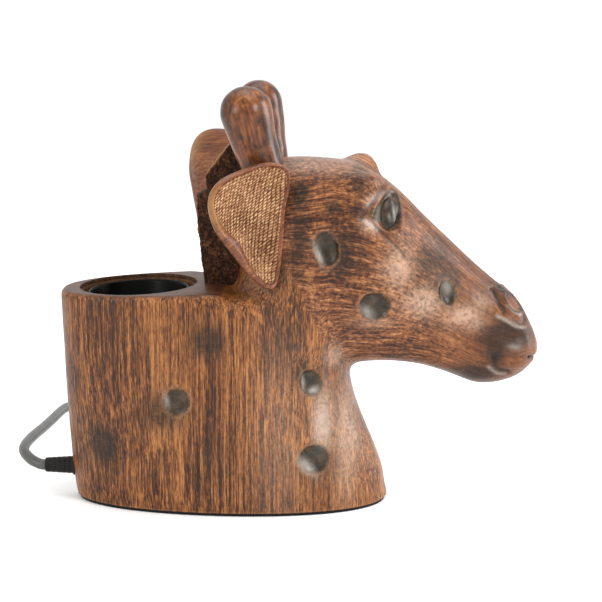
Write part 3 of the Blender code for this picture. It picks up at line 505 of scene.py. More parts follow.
class Surface:
    """One material and the nodes in it."""

    def __init__(self, name, metallic=0.0, specular=0.5):
        self.material = bpy.data.materials.new(name)
        self.material.use_nodes = True
        self.tree = self.material.node_tree
        self.shader = self.tree.nodes["Principled BSDF"]
        self.place = self.node("ShaderNodeTexCoord").outputs["Object"]
        self.shader.inputs["Metallic"].default_value = metallic
        self.shader.inputs["Specular IOR Level"].default_value = specular

    def node(self, kind, inputs=(), **settings):
        made = self.tree.nodes.new(kind)
        for key, value in settings.items():
            setattr(made, key, value)
        for key, value in dict(inputs).items():
            self.give(made.inputs[key], value)
        return made

    def give(self, socket, value):
        if isinstance(value, bpy.types.NodeSocket):
            self.tree.links.new(value, socket)
        elif isinstance(value, tuple) and len(value) == 3 and socket.type == "RGBA":
            socket.default_value = (*value, 1.0)
        else:
            socket.default_value = value

    def stretched(self, x=1000, y=1000, z=1000):
        """Places in the object's own frame. A smaller number makes noise longer that way."""
        inputs = {"Vector": self.place, "Scale": (x, y, z)}
        return self.node("ShaderNodeMapping", inputs).outputs["Vector"]

    def stored(self, name, output="Fac"):
        return self.node("ShaderNodeAttribute", attribute_name=name).outputs[output]

    def noise(self, vector, scale, detail=2.0, roughness=0.5, distortion=0.0):
        inputs = {
            "Vector": vector,
            "Scale": scale,
            "Detail": detail,
            "Roughness": roughness,
            "Distortion": distortion,
        }
        return self.node("ShaderNodeTexNoise", inputs).outputs["Fac"]

    def even_noise(self, scale, detail, roughness):
        """Noise with no direction, of a scale for each millimetre."""
        return self.noise(self.stretched(), scale, detail, roughness)

    def math(self, kind, first, second, clamp=False):
        inputs = {0: first, 1: second}
        return self.node("ShaderNodeMath", inputs, operation=kind, use_clamp=clamp).outputs[0]

    def plus(self, first, second):
        return self.math("ADD", first, second)

    def minus(self, first, second, clamp=False):
        return self.math("SUBTRACT", first, second, clamp)

    def times(self, first, second, clamp=False):
        return self.math("MULTIPLY", first, second, clamp)

    def swing(self, value, amount):
        """How far noise is from its middle, times an amount."""
        return self.times(self.minus(value, 0.5), amount)

    def spread(self, value, low, high, to_low=0.0, to_high=1.0):
        inputs = {"Value": value, "From Min": low, "From Max": high, "To Min": to_low, "To Max": to_high}
        return self.node("ShaderNodeMapRange", inputs).outputs["Result"]

    def ramp(self, value, *stops):
        made = self.node("ShaderNodeValToRGB", {"Fac": value})
        elements = made.color_ramp.elements
        while len(elements) < len(stops):
            elements.new(0.5)
        for element, (where, colour) in zip(elements, stops):
            element.position = where
            element.color = (*colour, 1.0)
        return made.outputs["Color"]

    def mix(self, share, first, second):
        made = self.node("ShaderNodeMix", data_type="RGBA")
        self.give(made.inputs[0], share)
        self.give(made.inputs[6], first)
        self.give(made.inputs[7], second)
        return made.outputs[2]

    def bump(self, height, depth, strength):
        inputs = {"Height": height, "Distance": depth * MM, "Strength": strength}
        return self.node("ShaderNodeBump", inputs).outputs["Normal"]

    def finish(self, colour, roughness, normal=None):
        self.give(self.shader.inputs["Base Color"], colour)
        self.give(self.shader.inputs["Roughness"], roughness)
        if normal is not None:
            self.give(self.shader.inputs["Normal"], normal)
        return self.material


def streaks(s, grain, fine):
    """Brush streaks: fine and coarse noise that is long one way, and patches of both."""
    thin = s.times(s.noise(grain, fine, 3.0, 0.6), 0.45)
    hair = s.times(s.noise(grain, fine * 2.1, 2.0, 0.6), 0.33)
    wide = s.times(s.noise(grain, fine * 0.30, 2.0, 0.5), 0.22)
    patches = s.noise(s.stretched(z=420), 0.035, 3.0, 0.55)
    return s.plus(s.plus(s.plus(thin, hair), wide), s.swing(patches, 0.24))


def upright_wood(s, upright):
    return s.ramp(
        upright,
        (0.39, paint(36, 17, 6)),
        (0.45, paint(66, 34, 13)),
        (0.50, paint(98, 56, 25)),
        (0.55, paint(126, 77, 38)),
        (0.63, paint(158, 105, 58)),
    )


def lying_wood(s, lying):
    return s.ramp(
        lying,
        (0.405, paint(34, 16, 7)),
        (0.46, paint(68, 35, 16)),
        (0.51, paint(104, 61, 32)),
        (0.56, paint(140, 90, 54)),
        (0.63, paint(172, 122, 82)),
    )


def top_wood(s):
    return s.ramp(
        s.noise(s.stretched(60, 900, 900), 1.0, 3.0, 0.6),
        (0.35, paint(44, 23, 11)),
        (0.5, paint(72, 40, 21)),
        (0.68, paint(104, 64, 38)),
    )


def glazed_pit(s):
    return s.ramp(
        s.even_noise(0.16, 3.0, 0.6),
        (0.35, paint(30, 23, 15)),
        (0.5, paint(46, 37, 26)),
        (0.68, paint(68, 56, 42)),
    )


def carved_wood():
    """Upright streaks on the stump and lying ones on the head, with all the carving's marks, its painted
    shade and its painted sheen and highlights.
    """
    s = Surface("brushed_wood", specular=0.26)
    flecks = s.noise(s.stretched(z=170), 1.3, 2.0, 0.6)
    mottle = s.even_noise(0.42, 4.0, 0.68)
    upright = s.plus(streaks(s, s.stretched(z=15), 1.05), s.swing(flecks, 0.32))
    lying = streaks(s, s.stored("flow", "Vector"), 0.80)
    lying = s.plus(s.times(lying, 0.70), s.times(mottle, 0.30))
    calmed = s.times(s.minus(0.512, lying), s.stored("calm"))
    lying = s.plus(lying, s.times(calmed, 0.62))
    share = s.spread(s.plus(s.stored("headness"), s.swing(mottle, 0.7)), 0.35, 0.65)
    colour = s.mix(share, upright_wood(s, upright), lying_wood(s, lying))
    # Painted sheen, mixed in as a pale cream colour
    rub = s.times(s.stored("rub"), s.spread(mottle, 0.34, 0.58, 0.35, 1.0), True)
    colour = s.mix(s.times(rub, 0.8), colour, paint(182, 152, 130))
    colour = s.mix(s.stored("topface"), colour, top_wood(s))
    # Dark patches and painted shade, mixed in as a deep brown
    shade_and_patches = s.times(s.stored("shade_and_patches"), s.spread(lying, 0.64, 0.42, 0.6, 1.0), True)
    colour = s.mix(s.times(shade_and_patches, 0.93), colour, paint(25, 17, 10))
    colour = s.mix(s.stored("pit"), colour, glazed_pit(s))
    # Painted highlights, mixed in as a pale grey
    glint = s.times(s.stored("glint"), s.spread(flecks, 0.3, 0.6, 0.65, 1.0), True)
    colour = s.mix(glint, colour, paint(170, 162, 152))
    # Painted shade in the creases, the folds and the bore, mixed in as near black
    colour = s.mix(s.times(s.stored("crease_shade"), 0.9), colour, paint(22, 13, 8))
    edge = s.times(s.stored("edge"), s.spread(mottle, 0.35, 0.6, 0.3, 1.0), True)
    colour = s.mix(s.times(edge, 0.5), colour, paint(140, 98, 66))
    plain = s.minus(1.0, s.times(s.stored("pit"), 0.85), True)
    normal = s.bump(s.times(s.mix(share, upright, lying), plain), 0.34, 0.8)
    polished = s.math("MAXIMUM", s.stored("pit"), s.stored("rub"), True)
    roughness = s.minus(s.spread(lying, 0.35, 0.65, 0.48, 0.34), s.times(polished, 0.12))
    return s.finish(colour, roughness, normal)


def horn_wood():
    s = Surface("polished_wood", specular=0.34)
    value = streaks(s, s.stored("flow", "Vector"), 0.42)
    swirl = s.noise(s.stretched(z=600), 0.11, 3.0, 0.6, 0.8)
    value = s.plus(s.times(value, 0.55), s.times(swirl, 0.45))
    colour = s.ramp(
        value,
        (0.39, paint(24, 9, 2)),
        (0.45, paint(50, 23, 8)),
        (0.51, paint(80, 41, 16)),
        (0.575, paint(112, 62, 26)),
        (0.68, paint(140, 88, 42)),
    )
    # Painted shade darkens the knob's foot, where it meets the head
    colour = s.mix(s.stored("shade_and_patches"), colour, paint(28, 15, 6))
    return s.finish(colour, s.spread(value, 0.35, 0.65, 0.34, 0.22), s.bump(value, 0.2, 0.6))


def ear_wood():
    s = Surface("ear_rim_wood", specular=0.32)
    value = streaks(s, s.stored("flow", "Vector"), 0.7)
    colour = s.ramp(
        value,
        (0.36, paint(57, 28, 12)),
        (0.46, paint(91, 49, 26)),
        (0.55, paint(119, 69, 40)),
        (0.68, paint(151, 102, 61)),
    )
    colour = s.mix(s.times(s.stored("tan"), 0.7), colour, paint(142, 100, 52))
    return s.finish(colour, s.spread(value, 0.35, 0.65, 0.42, 0.28), s.bump(value, 0.25, 0.7))


def hessian():
    s = Surface("woven_hessian", specular=0.2)
    fibre = s.even_noise(1.6, 3.0, 0.65)
    tint = s.even_noise(0.06, 2.0, 0.5)
    value = s.plus(s.plus(s.stored("thread"), s.swing(fibre, 0.7)), s.swing(tint, 0.5))
    colour = s.ramp(
        value,
        (0.10, paint(66, 35, 17)),
        (0.33, paint(110, 71, 43)),
        (0.56, paint(154, 115, 79)),
        (0.86, paint(198, 163, 124)),
    )
    return s.finish(colour, s.spread(value, 0.1, 0.9, 0.8, 0.5), s.bump(fibre, 0.35, 0.8))


def mane_fibre():
    s = Surface("carved_fibre", specular=0.14)
    fibre = s.noise(s.stretched(900, 900, 500), 0.9, 4.0, 0.7, 0.6)
    value = s.plus(s.stored("thread"), s.swing(fibre, 1.6))
    colour = s.ramp(
        value,
        (0.10, paint(18, 8, 3)),
        (0.42, paint(46, 24, 11)),
        (0.70, paint(82, 49, 25)),
        (0.98, paint(128, 86, 50)),
    )
    return s.finish(colour, s.spread(value, 0.1, 0.9, 0.75, 0.5), s.bump(fibre, 0.5, 0.9))


def flecked(name, dark, light, rough_low, rough_high, scale, depth, specular=0.5):
    """A surface with fine grain and slow changes of colour, as moulded and plated pieces have."""
    s = Surface(name, specular=specular)
    grain = s.even_noise(scale, 3.0, 0.6)
    slow = s.even_noise(scale * 0.07, 2.0, 0.5)
    colour = s.ramp(s.plus(s.times(grain, 0.45), s.times(slow, 0.55)), (0.38, dark), (0.62, light))
    roughness = s.spread(slow, 0.35, 0.65, rough_low, rough_high)
    return s.finish(colour, roughness, s.bump(grain, depth, 0.5))


def turned_metal(name, dark, light, rough_low, rough_high):
    """Metal with fine lines round a standing axis."""
    s = Surface(name, metallic=1.0)
    lines = s.noise(s.stretched(60, 60, 1000), 2.4, 2.0, 0.6)
    slow = s.even_noise(0.08, 2.0, 0.5)
    colour = s.ramp(s.plus(s.times(lines, 0.5), s.times(slow, 0.5)), (0.38, dark), (0.62, light))
    roughness = s.spread(slow, 0.35, 0.65, rough_low, rough_high)
    return s.finish(colour, roughness, s.bump(lines, 0.06, 0.5))


# The plain materials: a name, two colours, two roughnesses, the grain's scale and depth, and the
# specular level where it isn't the usual one
FLECKED = {
    "dowel_wood": ("beech", (0.40, 0.26, 0.14), (0.58, 0.41, 0.25), 0.5, 0.65, 0.8, 0.1),
    "black_steel": ("black_lacquer", (0.001,) * 3, (0.003, 0.0025, 0.002), 0.30, 0.42, 1.5, 0.02, 0.07),
    "black_phenolic": (
        "black_phenolic", (0.010, 0.009, 0.009), (0.022, 0.020, 0.018),
        0.32, 0.45, 1.2, 0.03,
    ),
    "white_ceramic": ("glazed_ceramic", (0.70, 0.68, 0.62), (0.82, 0.80, 0.75), 0.15, 0.3, 0.6, 0.05),
    "black_rubber": (
        "black_rubber", (0.004, 0.004, 0.0035), (0.011, 0.0105, 0.0095),
        0.45, 0.65, 1.6, 0.06, 0.16,
    ),
    "grey_pvc": ("lead_sheath", (0.052, 0.051, 0.049), (0.082, 0.080, 0.077), 0.30, 0.42, 1.1, 0.05, 0.4),
    "black_plastic": (
        "grained_plastic", (0.014, 0.014, 0.013), (0.028, 0.027, 0.026),
        0.34, 0.5, 2.2, 0.08,
    ),
    "wire_brown": ("brown_sheath", (0.12, 0.045, 0.02), (0.19, 0.075, 0.04), 0.35, 0.5, 1.0, 0.03),
    "wire_blue": ("blue_sheath", (0.02, 0.08, 0.30), (0.04, 0.12, 0.40), 0.35, 0.5, 1.0, 0.03),
}


def all_surfaces():
    """A material for each of the record's material slots."""
    return {
        "carved_wood": carved_wood(),
        "ossicone_wood": horn_wood(),
        "mane_fibre": mane_fibre(),
        "ear_hessian": hessian(),
        "brass": turned_metal("turned_brass", (0.58, 0.38, 0.13), (0.78, 0.56, 0.25), 0.22, 0.38),
        "zinc_steel": turned_metal("zinc_plate", (0.46, 0.47, 0.47), (0.64, 0.64, 0.62), 0.28, 0.45),
        **{slot: flecked(*look) for slot, look in FLECKED.items()},
    }


# ---- the lead, its strain relief and its tie


def winding():
    """The lead's turns: three inwards on the table, then two and a half outwards on top of them."""
    points = []
    for step in range(round(TURNS * 20) + 1):
        t = min(step / 20, TURNS)
        turn = math.radians(80.0 - 360.0 * t)
        if t < 3.0:
            radius = FIRST_TURN_RADIUS - TURN_PITCH * t
        else:
            radius = FOURTH_TURN_RADIUS + TURN_PITCH * max(0.0, t - 3.14)
        height = TURN_HEIGHT + TURN_PITCH * float(step_up(np.array(t), 2.85, 3.2))
        points.append((COIL[0] + radius * math.cos(turn), COIL[1] + radius * math.sin(turn), height))
    return points


def lead(surface):
    """The whole lead as one round tube. The CAD's three stretches and coil give way to it."""
    route = (*ROUTE_TO_SWITCH, *ROUTE_TO_COIL, *winding(), *ROUTE_TO_PLUG)
    points = smooth_points(route, 4.0)
    curve = bpy.data.curves.new("mains_lead", "CURVE")
    curve.dimensions = "3D"
    curve.bevel_depth = CORD_RADIUS * MM
    curve.bevel_resolution = 5
    curve.use_fill_caps = True
    spline = curve.splines.new("POLY")
    spline.points.add(len(points) - 1)
    for spot, point in zip(spline.points, points):
        spot.co = (*(point * MM), 1.0)
    spline.use_smooth = True
    curve.materials.append(surface)
    made = loose_object("mains_lead", curve)
    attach(made, BODY)
    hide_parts("cord_to_switch", "cord_to_coil", "cord_to_plug", "cord_coil")
    return made


def strain_relief(surface):
    """The tapered rubber sleeve with its rings, out of the carving's back."""
    place = along((RELIEF_SEAT_X, 0.0, 19.5), (-1, 0, 0))
    profile = [(0.1, -12.8), (4.2, -12.8), (4.5, -11.8), (4.5, 0.4), (6.2, 0.4), (6.5, 0.9), (6.5, 2.1)]
    profile += [(6.1, 2.7), (5.6, 3.0)]
    for step in range(48):
        height = 3.2 + 15.9 * step / 47
        groove = 0.28 * max(0.0, math.sin(math.tau * (height - 3.2) / 3.2)) ** 4
        profile.append((5.55 - 0.95 * step / 47 - groove, height))
    profile += [(4.45, 19.9), (4.1, 20.3), (3.3, 20.4), (0.1, 20.4)]
    mesh = turned_mesh("relief_sleeve", profile, place, 48, closed=False)
    return piece("relief_sleeve", mesh, surface, "strain_relief")


def coil_tie(surface):
    """A flat strap with rolled edges, round the turns at the coil's +X side."""
    x, half, low, high = COIL[0] + 40.0, 15.0, 0.3, 16.1
    corners = 5.0
    path = []
    for centre_x, centre_z, start in (
        (x + half - corners, high - corners, 0),
        (x - half + corners, high - corners, 90),
        (x - half + corners, low + corners, 180),
        (x + half - corners, low + corners, 270),
    ):
        for step in range(9):
            turn = math.radians(start + step * 90 / 8)
            path.append((centre_x, centre_z, math.cos(turn), math.sin(turn)))
    rings = []
    half_section = ((-4.3, 0.0), (-4.3, 0.6), (-3.9, 0.95), (-3.0, 0.8))
    section = (*half_section, *((-across, out) for across, out in reversed(half_section)))
    for centre_x, centre_z, c, s in path:
        ring = []
        for across, out in section:
            reach = corners + out - 0.6
            ring.append((centre_x + reach * c, COIL[1] + across, centre_z + reach * s))
        rings.append(ring)
    mesh = rings_mesh("tie_strap", rings, closed=True)
    return piece("tie_strap", mesh, surface, "cord_tie")


# ---- the carving


def carving_skin():
    """The joined and evened skin of stump, neck and head, before its detail is worked in."""
    stump = [[(x, y, row[0]) for x, y in egg(row, 120)] for row in fine_rows(STUMP_ROWS, 6.0)]
    neck = [[(x, y, row[0]) for x, y in egg(row, 96)] for row in fine_rows(NECK_ROWS, 6.0)]
    head = [[(row[0], y, z) for z, y in egg(row, 96)] for row in fine_rows(HEAD_ROWS, 4.0)]
    built = bmesh.new()
    for middle, radius in EAR_BOSSES:
        size = {"u_segments": 28, "v_segments": 18, "radius": radius * MM}
        bmesh.ops.create_uvsphere(built, matrix=at(*middle), **size)
    others = [rings_mesh("neck", neck), rings_mesh("head", head), as_mesh("bosses", built)]
    mesh = combined("skin", rings_mesh("stump", stump), others, "UNION")
    mesh = remeshed("skin", mesh, 1.5)
    places, edges = places_of(mesh), edges_of(mesh)
    evened = relaxed(places, edges, 4)
    x, y, z = evened.T
    flank = step_up(np.abs(y), 26.0, 32.0) * step_up(z, 66.0, 78.0) * step_up(-z, -158.0, -146.0)
    share = flank * step_up(x, -30.0, -14.0) * step_up(-x, -76.0, -66.0)
    for line, width, strength in SOFT_JOINS:
        share = share + strength * near_line(x, z, line, width)
    share = np.clip(share, 0, 1)[:, None]
    softened = relaxed(evened, edges, 60, 0.5, 0)
    places = evened + share * (softened - evened)
    put_places(mesh, places)
    return mesh


def refined(mesh):
    """Splits the faces finer round the eyes, the nostrils and the mouth."""
    built = bmesh.new()
    built.from_mesh(mesh)
    chosen = set()
    for face in built.faces:
        x, y, z = face.calc_center_median() / MM
        eye = 76 < x < 108 and 160 < z < 206 and abs(y) > 12
        muzzle = x > 152 and 72 < z < 146
        if eye or muzzle:
            chosen.update(face.edges)
    bmesh.ops.subdivide_edges(built, edges=list(chosen), cuts=1, use_grid_fill=True, smooth=0.0)
    built.to_mesh(mesh)
    built.free()
    return mesh


def side_of(normals):
    """1 where the skin faces sideways, and 0 where it faces up, down or forwards."""
    return step_up(np.abs(normals[:, 1]), 0.12, 0.40)


def dented(x, z):
    """How far out of the skin the dents reach: a bowl below 0 and a low lip round it."""
    out = np.zeros(len(x))
    for *shape, depth in DENTS:
        q = oval(x, z, *shape)
        out += 0.35 * np.exp(-(((q - 1.12) / 0.16) ** 2)) - depth * np.sqrt(np.clip(1 - q**2, 0, 1)) ** 0.9
    return out


def eye(x, z):
    """A socket with a tall ball in it."""
    ball = oval(x, z, 96.0, 184.6, 5.2, 9.0, -6.0)
    socket = blot(x, z, 94.5, 185.0, 9.5, 12.5, -8.0, power=4)
    return 3.6 * np.sqrt(np.clip(1 - ball**2, 0, 1)) - 3.4 * socket


def nostril(x, z):
    """A swell with a shallow almond hole in it, and the folds round it."""
    hole = oval(x, z, *NOSTRIL)
    swell = 1.5 * blot(x, z, 169.5, 126.0, 10.5, 6.5, -42.0, power=4)
    rim = 0.9 * np.exp(-(((hole - 1.25) / 0.2) ** 2))
    return swell + rim - 1.7 * np.exp(-(hole**6)) + folded(x, z, NOSTRIL_FOLDS)


def worked(mesh):
    """Moves the skin's points for the dents, the eyes, the nostrils, the mouth and the cheeks."""
    places, edges, normals = places_of(mesh), edges_of(mesh), normals_of(mesh)
    x, y, z = places.T
    face = dented(x, z) + eye(x, z) + folded(x, z, FACE_FOLDS)
    for line, height, width in BROAD_FOLDS:
        face += height * near_line(x, z, line, width)
    for *shape, height in SWELLS:
        face += height * blot(x, z, *shape)
    brow = step_up(np.abs(y), 14.0, 27.0) * 5.2 * blot(x, z, 83.0, 203.0, 12.0, 7.0, -12.0)
    out = side_of(normals) * face + step_up(np.abs(y), 3.0, 9.0) * nostril(x, z) + brow
    out -= 2.3 * ridge(x, z, MOUTH, 1.1)
    far_brow = np.exp(-(((x - 79.0) / 11.0) ** 2) - ((y - 22.0) / 9.0) ** 2) * step_up(z, 188.0, 200.0)
    places = places + np.array([0.0, 0.0, 7.0]) * far_brow[:, None]
    slow = grainy(places, 30.0, 3.0) + 0.5 * grainy(places, 12.0, 7.0)
    lively = 1 - step_up(z, 132.6, 133.9) * (x < -8)
    places = places + normals * (out + 0.35 * slow * lively)[:, None]
    touched = np.clip(np.abs(out) * 2, 0, 1)[:, None]
    places = places + 0.6 * touched * (relaxed(places, edges, 2) - places)
    places[:, 2] = np.maximum(places[:, 2], UNDERSIDE)
    put_places(mesh, places)
    return mesh


def flow_of(x, y, z):
    """Places that noise is read at so that its streaks run along the head."""
    rows = np.array(HEAD_ROWS)
    low = np.interp(x, rows[:, 0], rows[:, 1])
    high = np.interp(x, rows[:, 0], rows[:, 2])
    across = 100.0 * (z - low) / np.maximum(high - low, 8.0)
    tilt = 0.25 * np.maximum(0.0, 60.0 - x)
    return np.stack([across + tilt, y, x * 0.045], axis=1)


def pits_of(x, z):
    """Where the dents and the eye have their dark glaze."""
    socket = oval(x, z, 95.5, 185.0, 7.6, 11.8, -8.0)
    corner = oval(x, z, 88.8, 184.0, 6.0, 4.6, -4.0)
    pit = 1 - step_up(np.minimum(socket, corner), 0.75, 1.15)
    for *shape, depth in DENTS:
        pit = np.maximum(pit, (1 - step_up(oval(x, z, *shape), 0.85, 1.15)) * min(1.0, depth / 2.2))
    return pit


def bore_of(x, y, z, normals):
    """True on the walls and the ledge of the bore."""
    from_axis = np.stack([x - BORE[0], y - BORE[1]], axis=1)
    near = np.linalg.norm(from_axis, axis=1) < LEDGE_RADIUS + 0.5
    inwards = (from_axis * normals[:, :2]).sum(axis=1) < 3
    return near & inwards & (z > 40) & (z < STUMP_TOP + 0.3)


def marked(mesh):
    """Stores where the carving is head or dented, where it has dark patches and painted shade, painted
    sheen and highlights, painted shade in its creases and bore, and where it has an edge.
    """
    places, edges, normals = places_of(mesh), edges_of(mesh), normals_of(mesh)
    x, y, z = places.T
    side, flanks = side_of(normals), step_up(np.abs(y), 3.0, 7.0)
    border = np.interp(z, BORDER_LEVELS, BORDER_PLACES)
    glint = side * strongest(x, z, PAINTED_GLINTS)
    # Painted highlight lines join the painted glints
    for line, width, strength in PAINTED_HIGHLIGHT_LINES:
        glint = np.maximum(glint, flanks * strength * ridge(x, z, line, width))
    outline = 0.95 * np.exp(-(((oval(x, z, *NOSTRIL) - 1.0) / 0.2) ** 2))
    crease_shade = ridge(x, z, MOUTH, 1.2) + side * folded(x, z, FACE_CREASE_SHADE)
    crease_shade = crease_shade + flanks * (outline + folded(x, z, NOSTRIL_CREASE_SHADE))
    flat = (x < -4) & (z > 133.2) & (normals[:, 2] > 0.8)
    count = np.maximum(np.bincount(edges.ravel(), minlength=len(places)), 1)[:, None]
    hollow = ((averaged(places, edges, count) - places) * normals).sum(axis=1)
    calm = step_up(x, 104.0, 156.0) + 0.7 * blot(x, z, 94.0, 184.0, 17.0, 18.0)
    store(mesh, "headness", step_up(x - border, -7.0, 7.0))
    store(mesh, "flow", flow_of(x, y, z))
    store(mesh, "calm", np.clip(calm, 0, 1))
    store(mesh, "pit", side * pits_of(x, z))
    store(mesh, "shade_and_patches", np.minimum(1.5 * strongest(x, z, SHADE_AND_PATCHES), 1))
    store(mesh, "rub", strongest(x, z, PAINTED_SHEEN_SPOTS))
    store(mesh, "glint", glint)
    # The bore's walls and ledge get painted shade too
    store(mesh, "crease_shade", np.clip(crease_shade + 0.85 * bore_of(x, y, z, normals), 0, 1))
    store(mesh, "topface", flat.astype(float))
    store(mesh, "edge", step_up(-hollow, 0.05, 0.25))
    return mesh


def lifted(mesh):
    """Tips the stump's top face up a little towards the neck, with all that is let into it."""
    places = places_of(mesh)
    x, _y, z = places.T
    behind_neck = 1 - step_up(x, -12.0, 6.0)
    places[:, 2] += 0.034 * np.clip(x + 102.0, 0, 94) * step_up(z, 92.0, 128.0) * behind_neck
    put_places(mesh, places)
    return mesh


def carving(surface):
    """The whole carving, with the stepped bore for the lamp cup cut into it."""
    mesh = worked(refined(carving_skin()))
    bore = [(BORE_RADIUS, 150.0), (BORE_RADIUS, BORE_FLOOR)]
    ledge = [(LEDGE_RADIUS, 150.0), (LEDGE_RADIUS, STUMP_TOP - LEDGE_DEPTH)]
    cutters = [
        turned_mesh("bore", bore, at(*BORE, 0), 96, closed=False),
        turned_mesh("ledge", ledge, at(*BORE, 0), 96, closed=False),
    ]
    mesh = lifted(marked(combined("giraffe_carving", mesh, cutters, "DIFFERENCE")))
    mesh.name = "giraffe_carving"
    return piece("giraffe_carving", mesh, surface, "giraffe_body", angle=55.0)


# ---- ears, ossicones and mane


def ear_place(side):
    """An ear's own frame: X runs back along the ear, Y out of its hollow, and Z up."""
    root, swing, cock = EARS[side]
    hand = -1 if side == "right" else 1
    swing, cock = math.radians(swing), math.radians(cock)
    back = Vector((-math.cos(swing), hand * math.sin(swing), 0))
    out = Vector((math.sin(swing), hand * math.cos(swing), 0))
    turn = Matrix((back, out, Vector((0, 0, 1)))).transposed().to_4x4()
    return at(*root) @ Matrix.Rotation(cock, 4, "Y") @ turn


def ear_spokes(each):
    """The ear's middle, and the way from it to each place on its smooth outline."""
    centre = Vector(EAR_CENTRE)
    return centre, [point - centre for point in closed_outline(EAR_OUTLINE, each)]


def rim_width(spoke):
    """The rim is broad along the ear's lower back edge and narrow over its top."""
    turn = math.degrees(math.atan2(spoke.y, spoke.x))
    low_edge = math.exp(-(((turn + 62.0) / 48.0) ** 2))
    tip = math.exp(-(((turn - 8.0) / 30.0) ** 2))
    return 0.62 + 0.9 * low_edge + 0.3 * tip


def ear_shell(side, surface):
    """The wooden leaf of an ear, with a rolled rim round its hollow."""
    centre, spokes = ear_spokes(16)
    sections = [(part, None, EAR_DISH * (part**2 - 1)) for part in (0.05, 0.25, 0.42, 0.55, 0.66)]
    rim = ((5.6, -2.2), (4.6, -1.5), (3.6, -0.5), (2.4, 0.35), (1.2, 0.3), (0.4, -0.5), (0.0, -1.8))
    rim += ((0.3, -3.3), (1.2, -4.6), (2.6, -5.5), (4.4, -6.4))
    sections += [(None, inset, depth) for inset, depth in rim]
    for part in (0.78, 0.6, 0.4, 0.2, 0.05):
        sections.append((part, None, EAR_DISH * (part**2 - 1) - EAR_THICKNESS))
    rings = []
    for part, inset, depth in sections:
        ring = []
        for spoke in spokes:
            share = part if inset is None else 1 - inset * rim_width(spoke) / spoke.length
            wave = 0.25 * math.sin(spoke.x * 0.31) * math.sin(spoke.y * 0.23 + 1.0)
            spot = centre + spoke * share
            ring.append((spot.x, depth + wave, spot.y))
        rings.append(ring)
    mesh = rings_mesh(f"ear_shell_{side}", rings)
    places = places_of(mesh)
    flow = np.stack([places[:, 2] + 0.5 * places[:, 0], places[:, 1], places[:, 0] * 0.12], axis=1)
    store(mesh, "flow", flow)
    store(mesh, "tan", blot(places[:, 0], places[:, 2], 51.0, 14.0, 9.0, 15.0, -10.0))
    mesh.transform(ear_place(side))
    tidy_normals(mesh)
    return piece(f"ear_shell_{side}", mesh, surface, f"ear_{side}", angle=70.0)


def tidy_normals(mesh):
    """Turns every face outwards."""
    built = bmesh.new()
    built.from_mesh(mesh)
    bmesh.ops.recalc_face_normals(built, faces=built.faces)
    built.to_mesh(mesh)
    built.free()


def stitch_height(u, v, seed):
    """Slanted stitches in upright rows: how high the thread stands at a place, from 0 to 1."""
    bend = 1.1 * math.sin(v * 0.05 + seed) + 0.35 * noise.noise(Vector((u * 0.12, v * 0.12, seed)))
    row = (u + bend + 0.10 * v) / 2.35
    across = row - math.floor(row)
    lean = v / 1.95 + 0.85 * across + 1.7 * noise.noise(Vector((math.floor(row) * 3.7, v * 0.05, seed)))
    swell = 0.5 + 0.5 * math.sin(math.tau * lean)
    ribbed = max(0.0, 1 - (2 * across - 1) ** 4)
    worn = 0.75 + 0.5 * noise.noise(Vector((u * 0.5, v * 0.5, seed + 5)))
    return ribbed * (0.25 + 0.75 * swell) * worn


def ear_lining(side, surface):
    """The hessian in an ear's hollow, with each stitch standing proud."""
    centre, spokes = ear_spokes(26)
    seed = 1.0 if side == "right" else 4.0
    rings, threads = [], []
    steps = 62
    for step in range(steps + 1):
        part = 0.02 + 0.98 * step / steps
        ring = []
        for spoke in spokes:
            share = 1 - 3.6 * rim_width(spoke) / spoke.length
            spot = centre + spoke * (part * share)
            height = stitch_height(spot.x, spot.y, seed)
            threads.append(height)
            depth = EAR_DISH * ((part * share) ** 2 - 1) + 0.75
            depth += 0.55 * height - 1.4 * max(0.0, part - 0.965) / 0.035
            ring.append((spot.x, depth, spot.y))
        rings.append(ring)
    rings.append([(x, y - 1.2, z) for x, y, z in rings[-1]])
    rings.append([(centre.x + 0.3 * s.x, -EAR_DISH - 0.6, centre.y + 0.3 * s.y) for s in spokes])
    threads += [0.0] * (2 * len(spokes))
    mesh = rings_mesh(f"ear_hessian_{side}", rings)
    store(mesh, "thread", np.array(threads))
    mesh.transform(ear_place(side))
    tidy_normals(mesh)
    name = f"ear_hessian_{side}"
    return piece(name, mesh, surface, f"ear_lining_{side}", angle=180.0)


def ossicone(side, surface):
    """A fat polished knob on a neck, a little uneven as carved ones are."""
    foot, lean, knob = OSSICONES[side]
    middle = Vector(lean).length + 1.0
    neck = ((0.82, 0.0), (0.83, 0.2), (0.88, 0.45), (0.96, 0.75))
    outline = [(0.82 * knob, -6.0), *((wide * knob, part * middle) for wide, part in neck)]
    for step in range(14):
        turn = math.radians(7 * step)
        outline.append((knob * math.cos(turn), middle + knob * math.sin(turn)))
    outline.append((0.3, middle + knob))
    profile = [tuple(point)[:2] for point in smooth_points([(*p, 0.0) for p in outline], 1.6)]
    mesh = turned_mesh(f"ossicone_knob_{side}", profile, Matrix(), 72, closed=False)
    places = places_of(mesh)
    seed = 2.0 if side == "right" else 9.0
    swell = grainy(places, 16.0, seed) * 0.7 + grainy(places, 6.0, seed + 3) * 0.18
    reach = np.hypot(places[:, 0], places[:, 1])[:, None] + 0.001
    outwards = places * np.array([1, 1, 0]) / reach
    places = places + outwards * swell[:, None] * np.clip(reach / 6, 0, 1)
    put_places(mesh, places)
    store(mesh, "flow", places * np.array([1, 1, 0.07]))
    # Painted shade round the knob's foot, where it meets the head
    store(mesh, "shade_and_patches", 0.55 * np.exp(-(((places[:, 2] - 3.0) / 6.0) ** 2)))
    mesh.transform(along(foot, lean))
    return piece(f"ossicone_knob_{side}", mesh, surface, f"ossicone_{side}")


